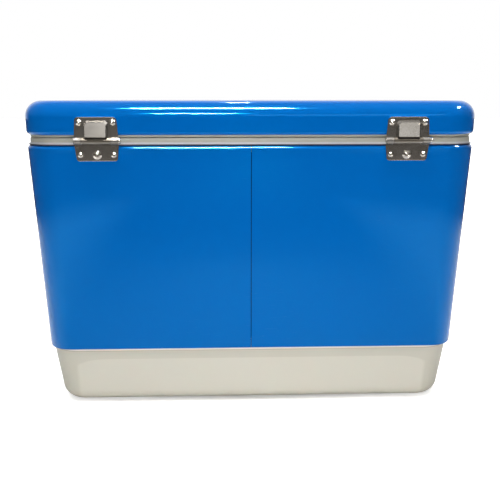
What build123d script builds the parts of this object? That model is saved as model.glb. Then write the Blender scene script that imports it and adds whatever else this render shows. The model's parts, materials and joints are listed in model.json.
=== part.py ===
"""Steel-belted picnic cooler chest: painted steel belt and lid over foam, white moulded liner and base.

Millimetres. +Z is up, -Y is the front (latch side), +Y is the rear (hinge side), and the origin is the
centre of the footprint on the floor.
"""

import math
import os

from build123d import *

# ---------------------------------------------------------------- driving dimensions
HEIGHT = 405.0
LID_LENGTH, LID_DEPTH = 571.0, 398.0
BODY_TOP_LENGTH, BODY_TOP_DEPTH = 571.0, 397.0
BELT_INSET = 11.0  # how far each side of the belt leans in from its top edge to its bottom edge
BASE_TOP_LENGTH, BASE_TOP_DEPTH = 546.0, 368.0
BASE_BOTTOM_LENGTH, BASE_BOTTOM_DEPTH = 523.0, 345.0
PLAN_RADIUS = 44.0  # upright corners of the belt and lid

BELT_BOTTOM_Z = 82.5
BELT_TOP_Z = 351.0
RIM_TOP_Z = 360.9  # top of the liner's white rim
LID_LINER_Z = 361.4  # underside of the lid's white flange
LID_BOTTOM_Z = 363.5

SHEET = 0.8  # painted sheet steel
WALL = 2.5  # moulded liner
PAN_WALL = 3.0
GAP = 0.3  # between foam and the skins round it
TUCK = 0.2  # slack where one moulding or sheet tucks into another
HAIR = 0.05  # hairline left between touching parts, so that no two share a face
SEAM_X, SEAM_GAP = 2.0, 0.8  # where the belt's two ends meet at the rear

OPENING_LENGTH, OPENING_DEPTH, OPENING_RADIUS = 508.0, 328.0, 40.0
FLOOR_LENGTH, FLOOR_DEPTH, FLOOR_RADIUS = 480.0, 300.0, 34.0
FLOOR_Z = 40.0

HINGE_X = 190.5
PIN_Y, PIN_Z = 201.8, 357.2
PIN_RADIUS = 2.0
RUNNING = 0.05  # radial clearance of every turning fit
LEAF = 1.5  # sheet of the hinges, latch and brackets
SEAT = HAIR  # gap under every plate

LATCH_Y, LATCH_Z = -207.0, 328.0  # latch pin
HANDLE_Z = 300.0
HANDLE_OFFSET = 8.0  # bail axis to the end face
DRAIN_Y, DRAIN_Z = -100.0, 45.5

# ---------------------------------------------------------------- worked out from them
BELT_SLOPE = BELT_INSET / (BELT_TOP_Z - BELT_BOTTOM_Z)
BEAD_HEIGHT, BEAD_PROUD = 3.5, 1.5  # lip round the base pan that the belt stands on
BEAD_Z = BELT_BOTTOM_Z - BEAD_HEIGHT
PAN_RADIUS = PLAN_RADIUS - 2.0
LID_REAR_Y = LID_DEPTH / 2
LID_FRONT_Y = -LID_DEPTH / 2


def belt_size(z, shrink=0.0):
    """Length, depth and corner radius of the belt's outside at height z, each side moved in by shrink."""
    lean = (BELT_TOP_Z - z) * BELT_SLOPE + shrink
    return BODY_TOP_LENGTH - 2 * lean, BODY_TOP_DEPTH - 2 * lean, PLAN_RADIUS - shrink


def pan_size(z, shrink=0.0):
    """The same for the base pan's tapered wall below the bead."""
    share = z / BEAD_Z
    length = BASE_BOTTOM_LENGTH + share * (BASE_TOP_LENGTH - BASE_BOTTOM_LENGTH)
    depth = BASE_BOTTOM_DEPTH + share * (BASE_TOP_DEPTH - BASE_BOTTOM_DEPTH)
    return length - 2 * shrink, depth - 2 * shrink, PAN_RADIUS - shrink


def liner_size(z, grow=0.0):
    """The same for the liner's inside face."""
    share = (z - FLOOR_Z) / (RIM_TOP_Z - FLOOR_Z)
    length = FLOOR_LENGTH + share * (OPENING_LENGTH - FLOOR_LENGTH)
    depth = FLOOR_DEPTH + share * (OPENING_DEPTH - FLOOR_DEPTH)
    radius = FLOOR_RADIUS + share * (OPENING_RADIUS - FLOOR_RADIUS)
    return length + 2 * grow, depth + 2 * grow, radius + grow


def outline(z, size):
    """A rounded rectangle (length, depth, radius) at height z."""
    with BuildSketch(Plane.XY.offset(z)) as sketch:
        RectangleRounded(*size)
    return sketch.sketch


def tub(low_z, low_size, high_z, high_size, mode=Mode.ADD):
    """A tapered rounded block between two heights, in the part being built."""
    return loft([outline(low_z, low_size), outline(high_z, high_size)], mode=mode)


def band(z, outer, inner):
    """The flat ring between two outlines at height z."""
    with BuildSketch(Plane.XY.offset(z)) as sketch:
        RectangleRounded(*outer)
        RectangleRounded(*inner, mode=Mode.SUBTRACT)
    return sketch.sketch


def shrunk(size, shrink):
    """An outline's (length, depth, radius) with every side moved in."""
    return size[0] - 2 * shrink, size[1] - 2 * shrink, size[2] - shrink


def edge_ring(part, highest):
    """The outline edges of the part's highest or lowest face."""
    return part.faces().sort_by(Axis.Z)[-1 if highest else 0].edges()


def belt_plane(side, along, z):
    """A plane on the belt's outside: local +Z points out of the wall and local +Y up it."""
    lean = (BELT_TOP_Z - z) * BELT_SLOPE
    x, y = BODY_TOP_LENGTH / 2 - lean, BODY_TOP_DEPTH / 2 - lean
    origin, right, out = {
        "rear": ((along, y, z), (-1, 0, 0), (0, 1, -BELT_SLOPE)),
        "front": ((along, -y, z), (1, 0, 0), (0, -1, -BELT_SLOPE)),
        "right": ((x, along, z), (0, 1, 0), (1, 0, -BELT_SLOPE)),
        "left": ((-x, along, z), (0, -1, 0), (-1, 0, -BELT_SLOPE)),
    }[side]
    return Plane(origin=origin, x_dir=right, z_dir=out)


def side_profile(y, z=0.0, x=0.0):
    """A plane seen from the right end: local +X points forwards out of the front, local +Y up."""
    return Plane(origin=(x, y, z), x_dir=(0, -1, 0), z_dir=(-1, 0, 0))


def shifted(plane, x=0.0, y=0.0, z=0.0):
    """The same plane with its origin moved in its own directions."""
    origin = plane.origin + plane.x_dir * x + plane.y_dir * y + plane.z_dir * z
    return Plane(origin=origin, x_dir=plane.x_dir, z_dir=plane.z_dir)


# ---------------------------------------------------------------- fasteners
RIVET_SHANK, RIVET_HEAD, RIVET_DOME = 2.2, 4.2, 2.6
RIVET_TAIL_RADIUS, RIVET_TAIL = 3.3, 1.4  # the formed tail behind the backing plate
SMALL_RIVET_HEAD = 3.9
SCREW_HEAD, SCREW_DOME, SCREW_REACH, SCREW_POINT = 5.7, 2.6, 9.0, 2.0
CROSS_LENGTH, CROSS_WIDTH, CROSS_DEPTH = 5.2, 1.1, 1.7
SHOULDER = 0.70  # a domed head's arc passes through this share of its radius and height
HEAD_LIFT = 0.02  # between a head and the plate that it sits on
HOLE = 2.3  # clearance hole for every rivet and screw shank
PLATE, PLATE_CORNER = 1.5, 4.0  # backing plates
PLATE_LIFT = 0.1  # between a skin and the backing plate behind it
STACK = LEAF + SHEET + PLATE + 0.5  # leaf, skin and backing plate that a rivet holds together, and slack


def rivet(plane, head=RIVET_HEAD, dome=RIVET_DOME, reach=STACK):
    """A domed rivet whose head sits on the plane, with a formed tail behind the backing plate."""
    with BuildPart(Plane.XY) as made:
        with BuildSketch(Plane.XZ):
            with BuildLine():
                Line((0, -reach - RIVET_TAIL), (0, dome))
                ThreePointArc((0, dome), (head * SHOULDER, dome * SHOULDER), (head, HEAD_LIFT))
                Polyline(
                    (head, HEAD_LIFT),
                    (RIVET_SHANK, HEAD_LIFT),
                    (RIVET_SHANK, -reach - HEAD_LIFT),
                    (RIVET_TAIL_RADIUS, -reach - HEAD_LIFT),
                    (RIVET_TAIL_RADIUS, -reach - RIVET_TAIL),
                    (0, -reach - RIVET_TAIL),
                )
            make_face()
        revolve(axis=Axis.Z)
    return plane.location * made.part


def truss_screw(plane):
    """A wide-headed screw with a cross recess, its head on the plane."""
    with BuildPart(Plane.XY) as made:
        with BuildSketch(Plane.XZ):
            with BuildLine():
                Line((0, -SCREW_REACH), (0, SCREW_DOME))
                shoulder = (SCREW_HEAD * SHOULDER, SCREW_DOME * SHOULDER)
                ThreePointArc((0, SCREW_DOME), shoulder, (SCREW_HEAD, HEAD_LIFT))
                Polyline(
                    (SCREW_HEAD, HEAD_LIFT),
                    (RIVET_SHANK, HEAD_LIFT),
                    (RIVET_SHANK, SCREW_POINT - SCREW_REACH),
                    (0, -SCREW_REACH),
                )
            make_face()
        revolve(axis=Axis.Z)
        with BuildSketch(Plane.XY.offset(SCREW_DOME)):
            Rectangle(CROSS_LENGTH, CROSS_WIDTH)
            Rectangle(CROSS_WIDTH, CROSS_LENGTH)
        extrude(amount=-CROSS_DEPTH, mode=Mode.SUBTRACT)
    return plane.location * made.part


def plate_with_holes(plane, width, height, thickness, holes, radius=PLATE_CORNER):
    """A flat rounded plate lying on the plane, with fastener holes at (x, y)."""
    with BuildPart(plane) as made:
        with BuildSketch(plane):
            RectangleRounded(width, height, radius)
            with Locations(*holes):
                Circle(HOLE, mode=Mode.SUBTRACT)
        extrude(amount=thickness)
    return made.part


def backing_plate(skin_plane, size, holes):
    """A flat plate behind a skin whose outside lies on the plane."""
    return plate_with_holes(shifted(skin_plane, z=-SHEET - PLATE_LIFT - PLATE), *size, PLATE, holes)


def group(parts):
    """Several solids kept apart in one node."""
    return Compound(children=list(parts))


# ---------------------------------------------------------------- where the fasteners go
LEAF_RIVET_X = 20.2
LID_RIVET_Y = 21.7  # above the hinge pin
BODY_RIVET_Y = -17.4  # below it, measured down the belt
HINGE_SIDES = {"left": HINGE_X, "right": -HINGE_X}  # as seen from behind

LID_HINGE_PLANES = {
    name: Plane(origin=(x, PIN_Y, PIN_Z), x_dir=(-1, 0, 0), z_dir=(0, 1, 0))
    for name, x in HINGE_SIDES.items()
}
BODY_HINGE_PLANES = {
    name: Plane(origin=(x, PIN_Y, PIN_Z), x_dir=(-1, 0, 0), z_dir=(0, 1, -BELT_SLOPE))
    for name, x in HINGE_SIDES.items()
}
LID_FACE = PIN_Y - LID_REAR_Y  # hinge pin to the lid's rear face
BELT_FACE = (PIN_Y - BODY_TOP_DEPTH / 2 - (PIN_Z - BELT_TOP_Z) * BELT_SLOPE) / math.hypot(1, BELT_SLOPE)

LATCH_PLATE_Z = 318.0
LATCH_PLANE = belt_plane("front", 0.0, LATCH_PLATE_Z)
LATCH_RIVETS = [(x, y) for x in (-24, 24) for y in (-15, 15)]
STRIKE_RIVET_Z = 379.0
STRIKE_PLANE = Plane(origin=(0, LID_FRONT_Y, STRIKE_RIVET_Z), x_dir=(1, 0, 0), z_dir=(0, -1, 0))
STRIKE_RIVETS = [(-11, 0), (11, 0)]
HANDLE_PLANES = {side: belt_plane(side, 0.0, HANDLE_Z) for side in ("left", "right")}
HANDLE_RIVETS = [(x, y) for x in (-60, 60) for y in (-9, 9)]


def drill(plane, points, depth=6.0, radius=HOLE):
    """Cuts fastener holes through the skin of the part being built."""
    for x, y in points:
        with Locations(shifted(plane, x, y).location):
            Cylinder(radius, 2 * depth, mode=Mode.SUBTRACT)


def pocket(plane, plate, depth=7.0):
    """Cuts a box-shaped relief in the foam behind a skin, round a backing plate of (width, height)."""
    with Locations(shifted(plane, z=PLATE_LIFT - SHEET - depth / 2).location):
        Box(plate[0] + RELIEF, plate[1] + RELIEF, depth, mode=Mode.SUBTRACT)


RELIEF = 4.0  # how much wider than a backing plate the foam's pocket behind it is
LEAF_HOLES_ON_BELT = [(-LEAF_RIVET_X, BODY_RIVET_Y), (0, BODY_RIVET_Y), (LEAF_RIVET_X, BODY_RIVET_Y)]
LEAF_HOLES_ON_LID = [(-LEAF_RIVET_X, LID_RIVET_Y), (LEAF_RIVET_X, LID_RIVET_Y)]

# ---------------------------------------------------------------- body: belt, pan, liner and foam
BELT_ROLL = 3.5  # outside radius where the belt turns in under the liner's rim
BELT_FLANGE = 7.0

with BuildPart() as belt_core:
    low_z, high_z = BELT_BOTTOM_Z - 1, BELT_TOP_Z - SHEET
    tub(low_z, belt_size(low_z, SHEET), high_z, belt_size(high_z, SHEET))
    fillet(edge_ring(belt_core.part, True), radius=BELT_ROLL - SHEET)

with BuildPart() as body_shell:
    tub(BELT_BOTTOM_Z, belt_size(BELT_BOTTOM_Z), BELT_TOP_Z, belt_size(BELT_TOP_Z))
    fillet(edge_ring(body_shell.part, True), radius=BELT_ROLL)
    add(belt_core.part, mode=Mode.SUBTRACT)
    extrude(outline(BELT_TOP_Z - 5, belt_size(BELT_TOP_Z, BELT_FLANGE)), amount=10, mode=Mode.SUBTRACT)
    with Locations((SEAM_X, BODY_TOP_DEPTH / 2, BELT_TOP_Z / 2)):
        Box(SEAM_GAP, PLAN_RADIUS, 2 * BELT_TOP_Z, mode=Mode.SUBTRACT)
    for hinge_plane in BODY_HINGE_PLANES.values():
        drill(shifted(hinge_plane, z=-BELT_FACE), LEAF_HOLES_ON_BELT)
    drill(LATCH_PLANE, LATCH_RIVETS)
    for handle_plane in HANDLE_PLANES.values():
        drill(handle_plane, HANDLE_RIVETS)
body_shell.part.label = "body_shell"

UPSTAND_TOP_Z = BELT_BOTTOM_Z + 12.5  # the pan's edge, tucked up inside the belt
STRIP_WIDTH, STRIP_LOW_GAP, STRIP_HIGH_GAP = 16.0, 2.0, 8.0

with BuildPart() as seam_backing_strip:
    low_z, high_z = UPSTAND_TOP_Z + STRIP_LOW_GAP, BELT_TOP_Z - STRIP_HIGH_GAP
    tub(low_z, belt_size(low_z, SHEET + HAIR), high_z, belt_size(high_z, SHEET + HAIR))
    tub(low_z, belt_size(low_z, 2 * SHEET), high_z, belt_size(high_z, 2 * SHEET), mode=Mode.SUBTRACT)
    with Locations((SEAM_X, BODY_TOP_DEPTH / 2, (low_z + high_z) / 2)):
        Box(STRIP_WIDTH, PLAN_RADIUS, high_z - low_z, mode=Mode.INTERSECT)
seam_backing_strip.part.label = "seam_backing_strip"

FOOT_SIZE = (BASE_BOTTOM_LENGTH, BASE_BOTTOM_DEPTH, PLAN_RADIUS)
PAN_FLOOR = 5.0
PAN_BOTTOM_ROUND = 21.0
PAN_INSIDE_ROUND = 18.0
FOOT_GROOVE_START, FOOT_GROOVE_END, FOOT_GROOVE_DEPTH = 25.0, 36.0, 2.0
BEAD_SIZE = (BASE_TOP_LENGTH + 2 * BEAD_PROUD, BASE_TOP_DEPTH + 2 * BEAD_PROUD, PLAN_RADIUS - 1.0)
BOSS_X = -271.8  # outer face of the drain boss
BOSS_LENGTH, FIT = 30.0, 0.2
BOSS_RADIUS, SPOUT_RADIUS, SPOUT_BORE = 17.0, 8.5, 6.0

with BuildPart() as pan_core:
    tub(PAN_FLOOR, pan_size(PAN_FLOOR, PAN_WALL), BEAD_Z, pan_size(BEAD_Z, PAN_WALL))
    fillet(edge_ring(pan_core.part, False), radius=PAN_INSIDE_ROUND)
    upstand_inside = [belt_size(z, SHEET + TUCK + WALL) for z in (BEAD_Z, UPSTAND_TOP_Z + 1)]
    tub(BEAD_Z, upstand_inside[0], UPSTAND_TOP_Z + 1, upstand_inside[1])

with BuildPart() as base_pan:
    tub(0, pan_size(0), BEAD_Z, pan_size(BEAD_Z))
    fillet(edge_ring(base_pan.part, False), radius=PAN_BOTTOM_ROUND)
    with Locations((BOSS_X + BOSS_LENGTH / 2, DRAIN_Y, DRAIN_Z)):
        Cylinder(BOSS_RADIUS, BOSS_LENGTH, rotation=(0, 90, 0))
    bead_top = BELT_BOTTOM_Z - TUCK
    extrude(outline(BEAD_Z, BEAD_SIZE), amount=bead_top - BEAD_Z)
    tub(bead_top, belt_size(bead_top, SHEET + TUCK), UPSTAND_TOP_Z, belt_size(UPSTAND_TOP_Z, SHEET + TUCK))
    add(pan_core.part, mode=Mode.SUBTRACT)
    foot_groove = band(0, shrunk(FOOT_SIZE, FOOT_GROOVE_START), shrunk(FOOT_SIZE, FOOT_GROOVE_END))
    extrude(foot_groove, amount=FOOT_GROOVE_DEPTH, mode=Mode.SUBTRACT)
    with Locations((BOSS_X, DRAIN_Y, DRAIN_Z)):
        Cylinder(SPOUT_RADIUS + FIT, 3 * BOSS_LENGTH, rotation=(0, 90, 0), mode=Mode.SUBTRACT)
base_pan.part.label = "base_pan"

RIM_INSET = 4.0
RIM_ROUND, RIM_FOOT_PROUD, RIM_FOOT_HEIGHT = 2.6, 2.0, 1.6
LINER_OUTSIDE_ROUND, LINER_INSIDE_ROUND = 12.0, 9.5
RIM_SIZE = belt_size(BELT_TOP_Z, RIM_INSET)
RIM_HOLLOW = belt_size(BELT_TOP_Z, RIM_INSET + PAN_WALL)
RIM_FOOT_SIZE = belt_size(BELT_TOP_Z, RIM_INSET - RIM_FOOT_PROUD)
RIM_FOOT_Z = BELT_TOP_Z + TUCK
LINER_BASE_Z = FLOOR_Z - WALL
WELL_LENGTH, WELL_WIDTH, WELL_DROP = 34.0, 40.0, 13.0  # sump in the floor, in front of the drain


def drain_well(grow=0.0):
    """The sump in the part being built: its hollow, grown by a wall or a gap."""
    low, high = FLOOR_Z - WELL_DROP - grow, FLOOR_Z + 8
    with Locations((-FLOOR_LENGTH / 2 + WELL_LENGTH / 2, DRAIN_Y, (low + high) / 2)):
        Box(WELL_LENGTH + 2 * grow, WELL_WIDTH + 2 * grow, high - low)


with BuildPart() as liner_outside:
    tub(LINER_BASE_Z, liner_size(LINER_BASE_Z, WALL), RIM_TOP_Z - 1, liner_size(RIM_TOP_Z - 1, WALL))
    fillet(edge_ring(liner_outside.part, False), radius=LINER_OUTSIDE_ROUND)
    drain_well(WALL)

with BuildPart() as liner_inside:
    tub(FLOOR_Z, liner_size(FLOOR_Z), RIM_TOP_Z + 5, liner_size(RIM_TOP_Z + 5))
    fillet(edge_ring(liner_inside.part, False), radius=LINER_INSIDE_ROUND)
    drain_well()

with BuildPart() as inner_liner:
    extrude(outline(RIM_FOOT_Z, RIM_SIZE), amount=RIM_TOP_Z - RIM_FOOT_Z)
    fillet(edge_ring(inner_liner.part, True), radius=RIM_ROUND)
    extrude(outline(RIM_FOOT_Z, RIM_FOOT_SIZE), amount=RIM_FOOT_HEIGHT)
    rim_hollow_z = RIM_FOOT_Z - 1
    extrude(outline(rim_hollow_z, RIM_HOLLOW), amount=RIM_TOP_Z - PAN_WALL - rim_hollow_z, mode=Mode.SUBTRACT)
    add(liner_outside.part)
    add(liner_inside.part, mode=Mode.SUBTRACT)
    with Locations((-FLOOR_LENGTH / 2, DRAIN_Y, DRAIN_Z)):
        Cylinder(SPOUT_RADIUS + FIT, BOSS_LENGTH, rotation=(0, 90, 0), mode=Mode.SUBTRACT)
inner_liner.part.label = "inner_liner"

FOAM_TOP_Z = BELT_TOP_Z - SHEET - GAP

with BuildPart() as liner_grown:
    grow = WALL + GAP
    tub(FLOOR_Z - grow, liner_size(FLOOR_Z - grow, grow), RIM_TOP_Z, liner_size(RIM_TOP_Z, grow))
    fillet(edge_ring(liner_grown.part, False), radius=LINER_OUTSIDE_ROUND)
    drain_well(grow)

with BuildPart() as pan_foam:
    tub(PAN_FLOOR + GAP, pan_size(PAN_FLOOR + GAP, PAN_WALL + GAP), BEAD_Z, pan_size(BEAD_Z, PAN_WALL + GAP))
    fillet(edge_ring(pan_foam.part, False), radius=PAN_INSIDE_ROUND)

with BuildPart() as belt_foam:
    foot_z = UPSTAND_TOP_Z + GAP
    tub(foot_z, belt_size(foot_z, SHEET + GAP), FOAM_TOP_Z, belt_size(FOAM_TOP_Z, SHEET + GAP))
    fillet(edge_ring(belt_foam.part, True), radius=BELT_ROLL - GAP)

BODY_HINGE_PLATE, LID_HINGE_PLATE = (52.0, 14.0), (50.0, 15.0)
LATCH_PLATE, STRIKE_PLATE, HANDLE_PLATE = (56.0, 38.0), (38.0, 14.0), (136.0, 26.0)
SCREW_POCKET = 9.0

with BuildPart() as body_insulation:
    add(pan_foam.part)
    collar_shrink = SHEET + TUCK + WALL + GAP
    collar_top_z = UPSTAND_TOP_Z + GAP
    tub(BEAD_Z, belt_size(BEAD_Z, collar_shrink), collar_top_z, belt_size(collar_top_z, collar_shrink))
    add(belt_foam.part)
    under_rim = outline(FOAM_TOP_Z - GAP, belt_size(BELT_TOP_Z, BELT_FLANGE + GAP))
    extrude(under_rim, amount=RIM_TOP_Z - PAN_WALL - FOAM_TOP_Z)
    add(liner_grown.part, mode=Mode.SUBTRACT)
    seam_z = (UPSTAND_TOP_Z + BELT_TOP_Z) / 2
    seam_height = BELT_TOP_Z - UPSTAND_TOP_Z + RELIEF
    pocket(belt_plane("rear", SEAM_X, seam_z), (STRIP_WIDTH - RELIEF / 2, seam_height), depth=2 * SHEET)
    for hinge_plane in BODY_HINGE_PLANES.values():
        pocket(shifted(hinge_plane, y=BODY_RIVET_Y, z=-BELT_FACE), BODY_HINGE_PLATE, depth=SCREW_POCKET)
    pocket(LATCH_PLANE, LATCH_PLATE)
    for handle_plane in HANDLE_PLANES.values():
        pocket(handle_plane, HANDLE_PLATE)
    with Locations((BOSS_X + BOSS_LENGTH, DRAIN_Y, DRAIN_Z)):
        Cylinder(SPOUT_RADIUS + 1, 2 * BOSS_LENGTH, rotation=(0, 90, 0), mode=Mode.SUBTRACT)
    with Locations((BOSS_X + BOSS_LENGTH / 2, DRAIN_Y, DRAIN_Z)):
        Cylinder(BOSS_RADIUS + GAP, BOSS_LENGTH + 2 * GAP, rotation=(0, 90, 0), mode=Mode.SUBTRACT)
body_insulation.part.label = "body_insulation"

# ---------------------------------------------------------------- lid: skin, liner, seal and foam
LID_SIZE = (LID_LENGTH, LID_DEPTH, PLAN_RADIUS)
LID_TOP_ROUND, LID_BOTTOM_ROUND = 20.0, 5.0
MOUTH_INSET = 9.0  # the skin turns in this far under the lid

with BuildPart() as lid_core:
    extrude(outline(LID_BOTTOM_Z + SHEET, shrunk(LID_SIZE, SHEET)), amount=HEIGHT - LID_BOTTOM_Z - 2 * SHEET)
    fillet(edge_ring(lid_core.part, True), radius=LID_TOP_ROUND - SHEET)
    fillet(edge_ring(lid_core.part, False), radius=LID_BOTTOM_ROUND - SHEET)

LID_MOUTH = shrunk(LID_SIZE, MOUTH_INSET)

with BuildPart() as lid_shell:
    extrude(outline(LID_BOTTOM_Z, LID_SIZE), amount=HEIGHT - LID_BOTTOM_Z)
    fillet(edge_ring(lid_shell.part, True), radius=LID_TOP_ROUND)
    fillet(edge_ring(lid_shell.part, False), radius=LID_BOTTOM_ROUND)
    add(lid_core.part, mode=Mode.SUBTRACT)
    extrude(outline(LID_BOTTOM_Z - 1, LID_MOUTH), amount=LID_BOTTOM_ROUND, mode=Mode.SUBTRACT)
    for hinge_plane in LID_HINGE_PLANES.values():
        drill(shifted(hinge_plane, z=-LID_FACE), LEAF_HOLES_ON_LID)
    drill(STRIKE_PLANE, STRIKE_RIVETS)
lid_shell.part.label = "lid_shell"

LID_FLANGE_SIZE = shrunk(LID_SIZE, MOUTH_INSET / 2)
LID_FLANGE = 2.0
PLUG_TOP, PLUG_BOTTOM = (496.0, 316.0, 36.0), (490.0, 310.0, 34.0)
PLUG_Z = 348.0
PLUG_ROUND = 4.0
SEAL_OUTER, SEAL_INNER = (542.0, 368.0, 34.0), (526.0, 352.0, 26.0)
SEAL_HEIGHT, SEAL_GROOVE, SEAL_SLACK = 1.4, 1.2, 0.1
LID_UPSTAND = shrunk(LID_MOUTH, GAP)
LID_UPSTAND_Z = 372.0

with BuildPart() as lid_liner:
    flange_top = LID_LINER_Z + LID_FLANGE
    extrude(outline(LID_LINER_Z, LID_FLANGE_SIZE), amount=LID_FLANGE)
    extrude(outline(LID_LINER_Z + 1, LID_UPSTAND), amount=LID_UPSTAND_Z - LID_LINER_Z - 1)
    upstand_inside = outline(flange_top, shrunk(LID_UPSTAND, WALL))
    extrude(upstand_inside, amount=LID_UPSTAND_Z - LID_LINER_Z, mode=Mode.SUBTRACT)
    with BuildPart(mode=Mode.PRIVATE) as plug:
        tub(PLUG_Z, PLUG_BOTTOM, LID_LINER_Z + 1, PLUG_TOP)
        fillet(edge_ring(plug.part, False), radius=PLUG_ROUND)
    add(plug.part)
    tub(PLUG_Z + WALL, shrunk(PLUG_BOTTOM, WALL), flange_top + 1, shrunk(PLUG_TOP, WALL), mode=Mode.SUBTRACT)
    groove = band(LID_LINER_Z - 1, shrunk(SEAL_OUTER, -SEAL_SLACK), shrunk(SEAL_INNER, SEAL_SLACK))
    extrude(groove, amount=1 + SEAL_GROOVE, mode=Mode.SUBTRACT)
lid_liner.part.label = "lid_liner"

with BuildPart() as lid_seal:
    extrude(band(RIM_TOP_Z + SEAL_SLACK, SEAL_OUTER, SEAL_INNER), amount=SEAL_HEIGHT)
lid_seal.part.label = "lid_seal"

with BuildPart() as lid_insulation:
    foam_z = LID_BOTTOM_Z + SHEET + GAP
    extrude(outline(foam_z, shrunk(LID_SIZE, SHEET + GAP)), amount=HEIGHT - SHEET - GAP - foam_z)
    fillet(edge_ring(lid_insulation.part, True), radius=LID_TOP_ROUND - SHEET - GAP)
    fillet(edge_ring(lid_insulation.part, False), radius=LID_BOTTOM_ROUND - SHEET - GAP)
    upstand_hollow = outline(foam_z - WALL, shrunk(LID_UPSTAND, -GAP))
    extrude(upstand_hollow, amount=LID_UPSTAND_Z + GAP - foam_z + WALL, mode=Mode.SUBTRACT)
    middle = outline(flange_top + GAP, shrunk(LID_UPSTAND, WALL + GAP))
    extrude(middle, amount=LID_UPSTAND_Z - LID_LINER_Z)
    tub(PLUG_Z + WALL + GAP, shrunk(PLUG_BOTTOM, WALL + GAP), flange_top + 1, shrunk(PLUG_TOP, WALL + GAP))
    for hinge_plane in LID_HINGE_PLANES.values():
        pocket(shifted(hinge_plane, y=LID_RIVET_Y, z=-LID_FACE), LID_HINGE_PLATE)
    pocket(STRIKE_PLANE, STRIKE_PLATE)
lid_insulation.part.label = "lid_insulation"

# ---------------------------------------------------------------- hinges
KNUCKLE = 4.2
CENTRE_KNUCKLE = 35.4
LEAF_HALF_WIDTH = 27.0
LID_LEAF_HEIGHT, BODY_LEAF_HEIGHT = 28.4, 25.0
HOOD_FOOT_Y = 1.2  # open end of the hood: it meets the lower leaf and stops the lid just past 111 degrees
HOOD_TOP_Y, HOOD_FACE_TOP_Y = 25.0, 21.8
HOOD_HALF_WIDTH, HOOD_FACE_HALF_WIDTH = 15.5, 12.5
HOOD_DEPTH = 8.75
HOOD_WALL = 1.3
HOOD_CORNER = 3.0
HOOD_LEAN = 0.16  # slope by which the hood's face leans back towards its top
LID_LEAF_TIP, LID_LEAF_CORNER = 25.0, 5.0
BODY_LEAF_TIP, BODY_LEAF_CORNER = 24.6, 3.5
KNUCKLE_SLACK = 0.5  # between neighbouring knuckles
KNUCKLE_RELIEF = 0.35
PIN_HEAD, PIN_HEAD_ROUND, PIN_STICKS_OUT = 2.6, 1.2, 0.5


def leaf_outline(tip_half_width, tip_y, root_y, corner):
    """A leaf that narrows from the pin to its tip, with rounded tip corners."""
    corners = [
        (-LEAF_HALF_WIDTH, root_y),
        (-tip_half_width, tip_y),
        (tip_half_width, tip_y),
        (LEAF_HALF_WIDTH, root_y),
    ]
    with BuildSketch(mode=Mode.PRIVATE) as leaf:
        with BuildLine():
            Polyline(*corners, close=True)
        make_face()
        tips = leaf.vertices().group_by(Axis.Y)[-1 if tip_y > root_y else 0]
        fillet(tips, radius=corner)
    return leaf.sketch


def octagon(plane, half_width, low_y, high_y, corner):
    """A rectangle with cut corners, on the plane."""
    right = [
        (half_width - corner, low_y),
        (half_width, low_y + corner),
        (half_width, high_y - corner),
        (half_width - corner, high_y),
    ]
    with BuildSketch(plane) as sketch:
        Polygon(*right, *((-x, y) for x, y in reversed(right)), align=None)
    return sketch.sketch


def hood(back, depth, inset, foot_y, mode):
    """The bevelled hood on the upper leaf, or its hollow when inset, in the part being built."""
    low = octagon(back, HOOD_HALF_WIDTH - inset, foot_y, HOOD_TOP_Y - inset, HOOD_CORNER)
    foot = shifted(back, y=HOOD_FOOT_Y, z=depth)
    face = Plane(origin=foot.origin, x_dir=foot.x_dir, z_dir=foot.z_dir + foot.y_dir * HOOD_LEAN)
    face_foot, face_top = foot_y - HOOD_FOOT_Y, HOOD_FACE_TOP_Y - HOOD_FOOT_Y - inset
    high = octagon(face, HOOD_FACE_HALF_WIDTH - inset, face_foot, face_top, HOOD_CORNER)
    loft([low, high], mode=mode)


def lid_leaf(plane):
    """Upper leaf: two outer knuckles, two rivet holes and the embossed hood that also stops the lid."""
    back = shifted(plane, z=-LID_FACE + SEAT)
    knuckle_gap = CENTRE_KNUCKLE / 2 + KNUCKLE_SLACK
    with BuildPart() as made:
        with BuildSketch(back):
            add(leaf_outline(LID_LEAF_TIP, LID_LEAF_HEIGHT, 0, LID_LEAF_CORNER))
            with Locations(*LEAF_HOLES_ON_LID):
                Circle(HOLE, mode=Mode.SUBTRACT)
        extrude(amount=LEAF)
        hood(back, HOOD_DEPTH, 0.0, HOOD_FOOT_Y, Mode.ADD)
        hollow_depth = HOOD_DEPTH + HAIR - HOOD_WALL
        hood(back.offset(-HAIR), hollow_depth, HOOD_WALL, HOOD_FOOT_Y - KNUCKLE, Mode.SUBTRACT)
        with Locations(plane.location):
            Cylinder(KNUCKLE + KNUCKLE_RELIEF, 2 * knuckle_gap, rotation=(0, 90, 0), mode=Mode.SUBTRACT)
        with Locations(shifted(back, y=-5).location):
            Box(60, 10, 4, mode=Mode.SUBTRACT)
        for side in (-1, 1):
            middle = side * (knuckle_gap + LEAF_HALF_WIDTH) / 2
            length = LEAF_HALF_WIDTH - knuckle_gap
            with Locations(shifted(plane, x=middle).location):
                Cylinder(KNUCKLE, length, rotation=(0, 90, 0))
                Cylinder(PIN_RADIUS + RUNNING, length, rotation=(0, 90, 0), mode=Mode.SUBTRACT)
    return made.part


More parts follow.
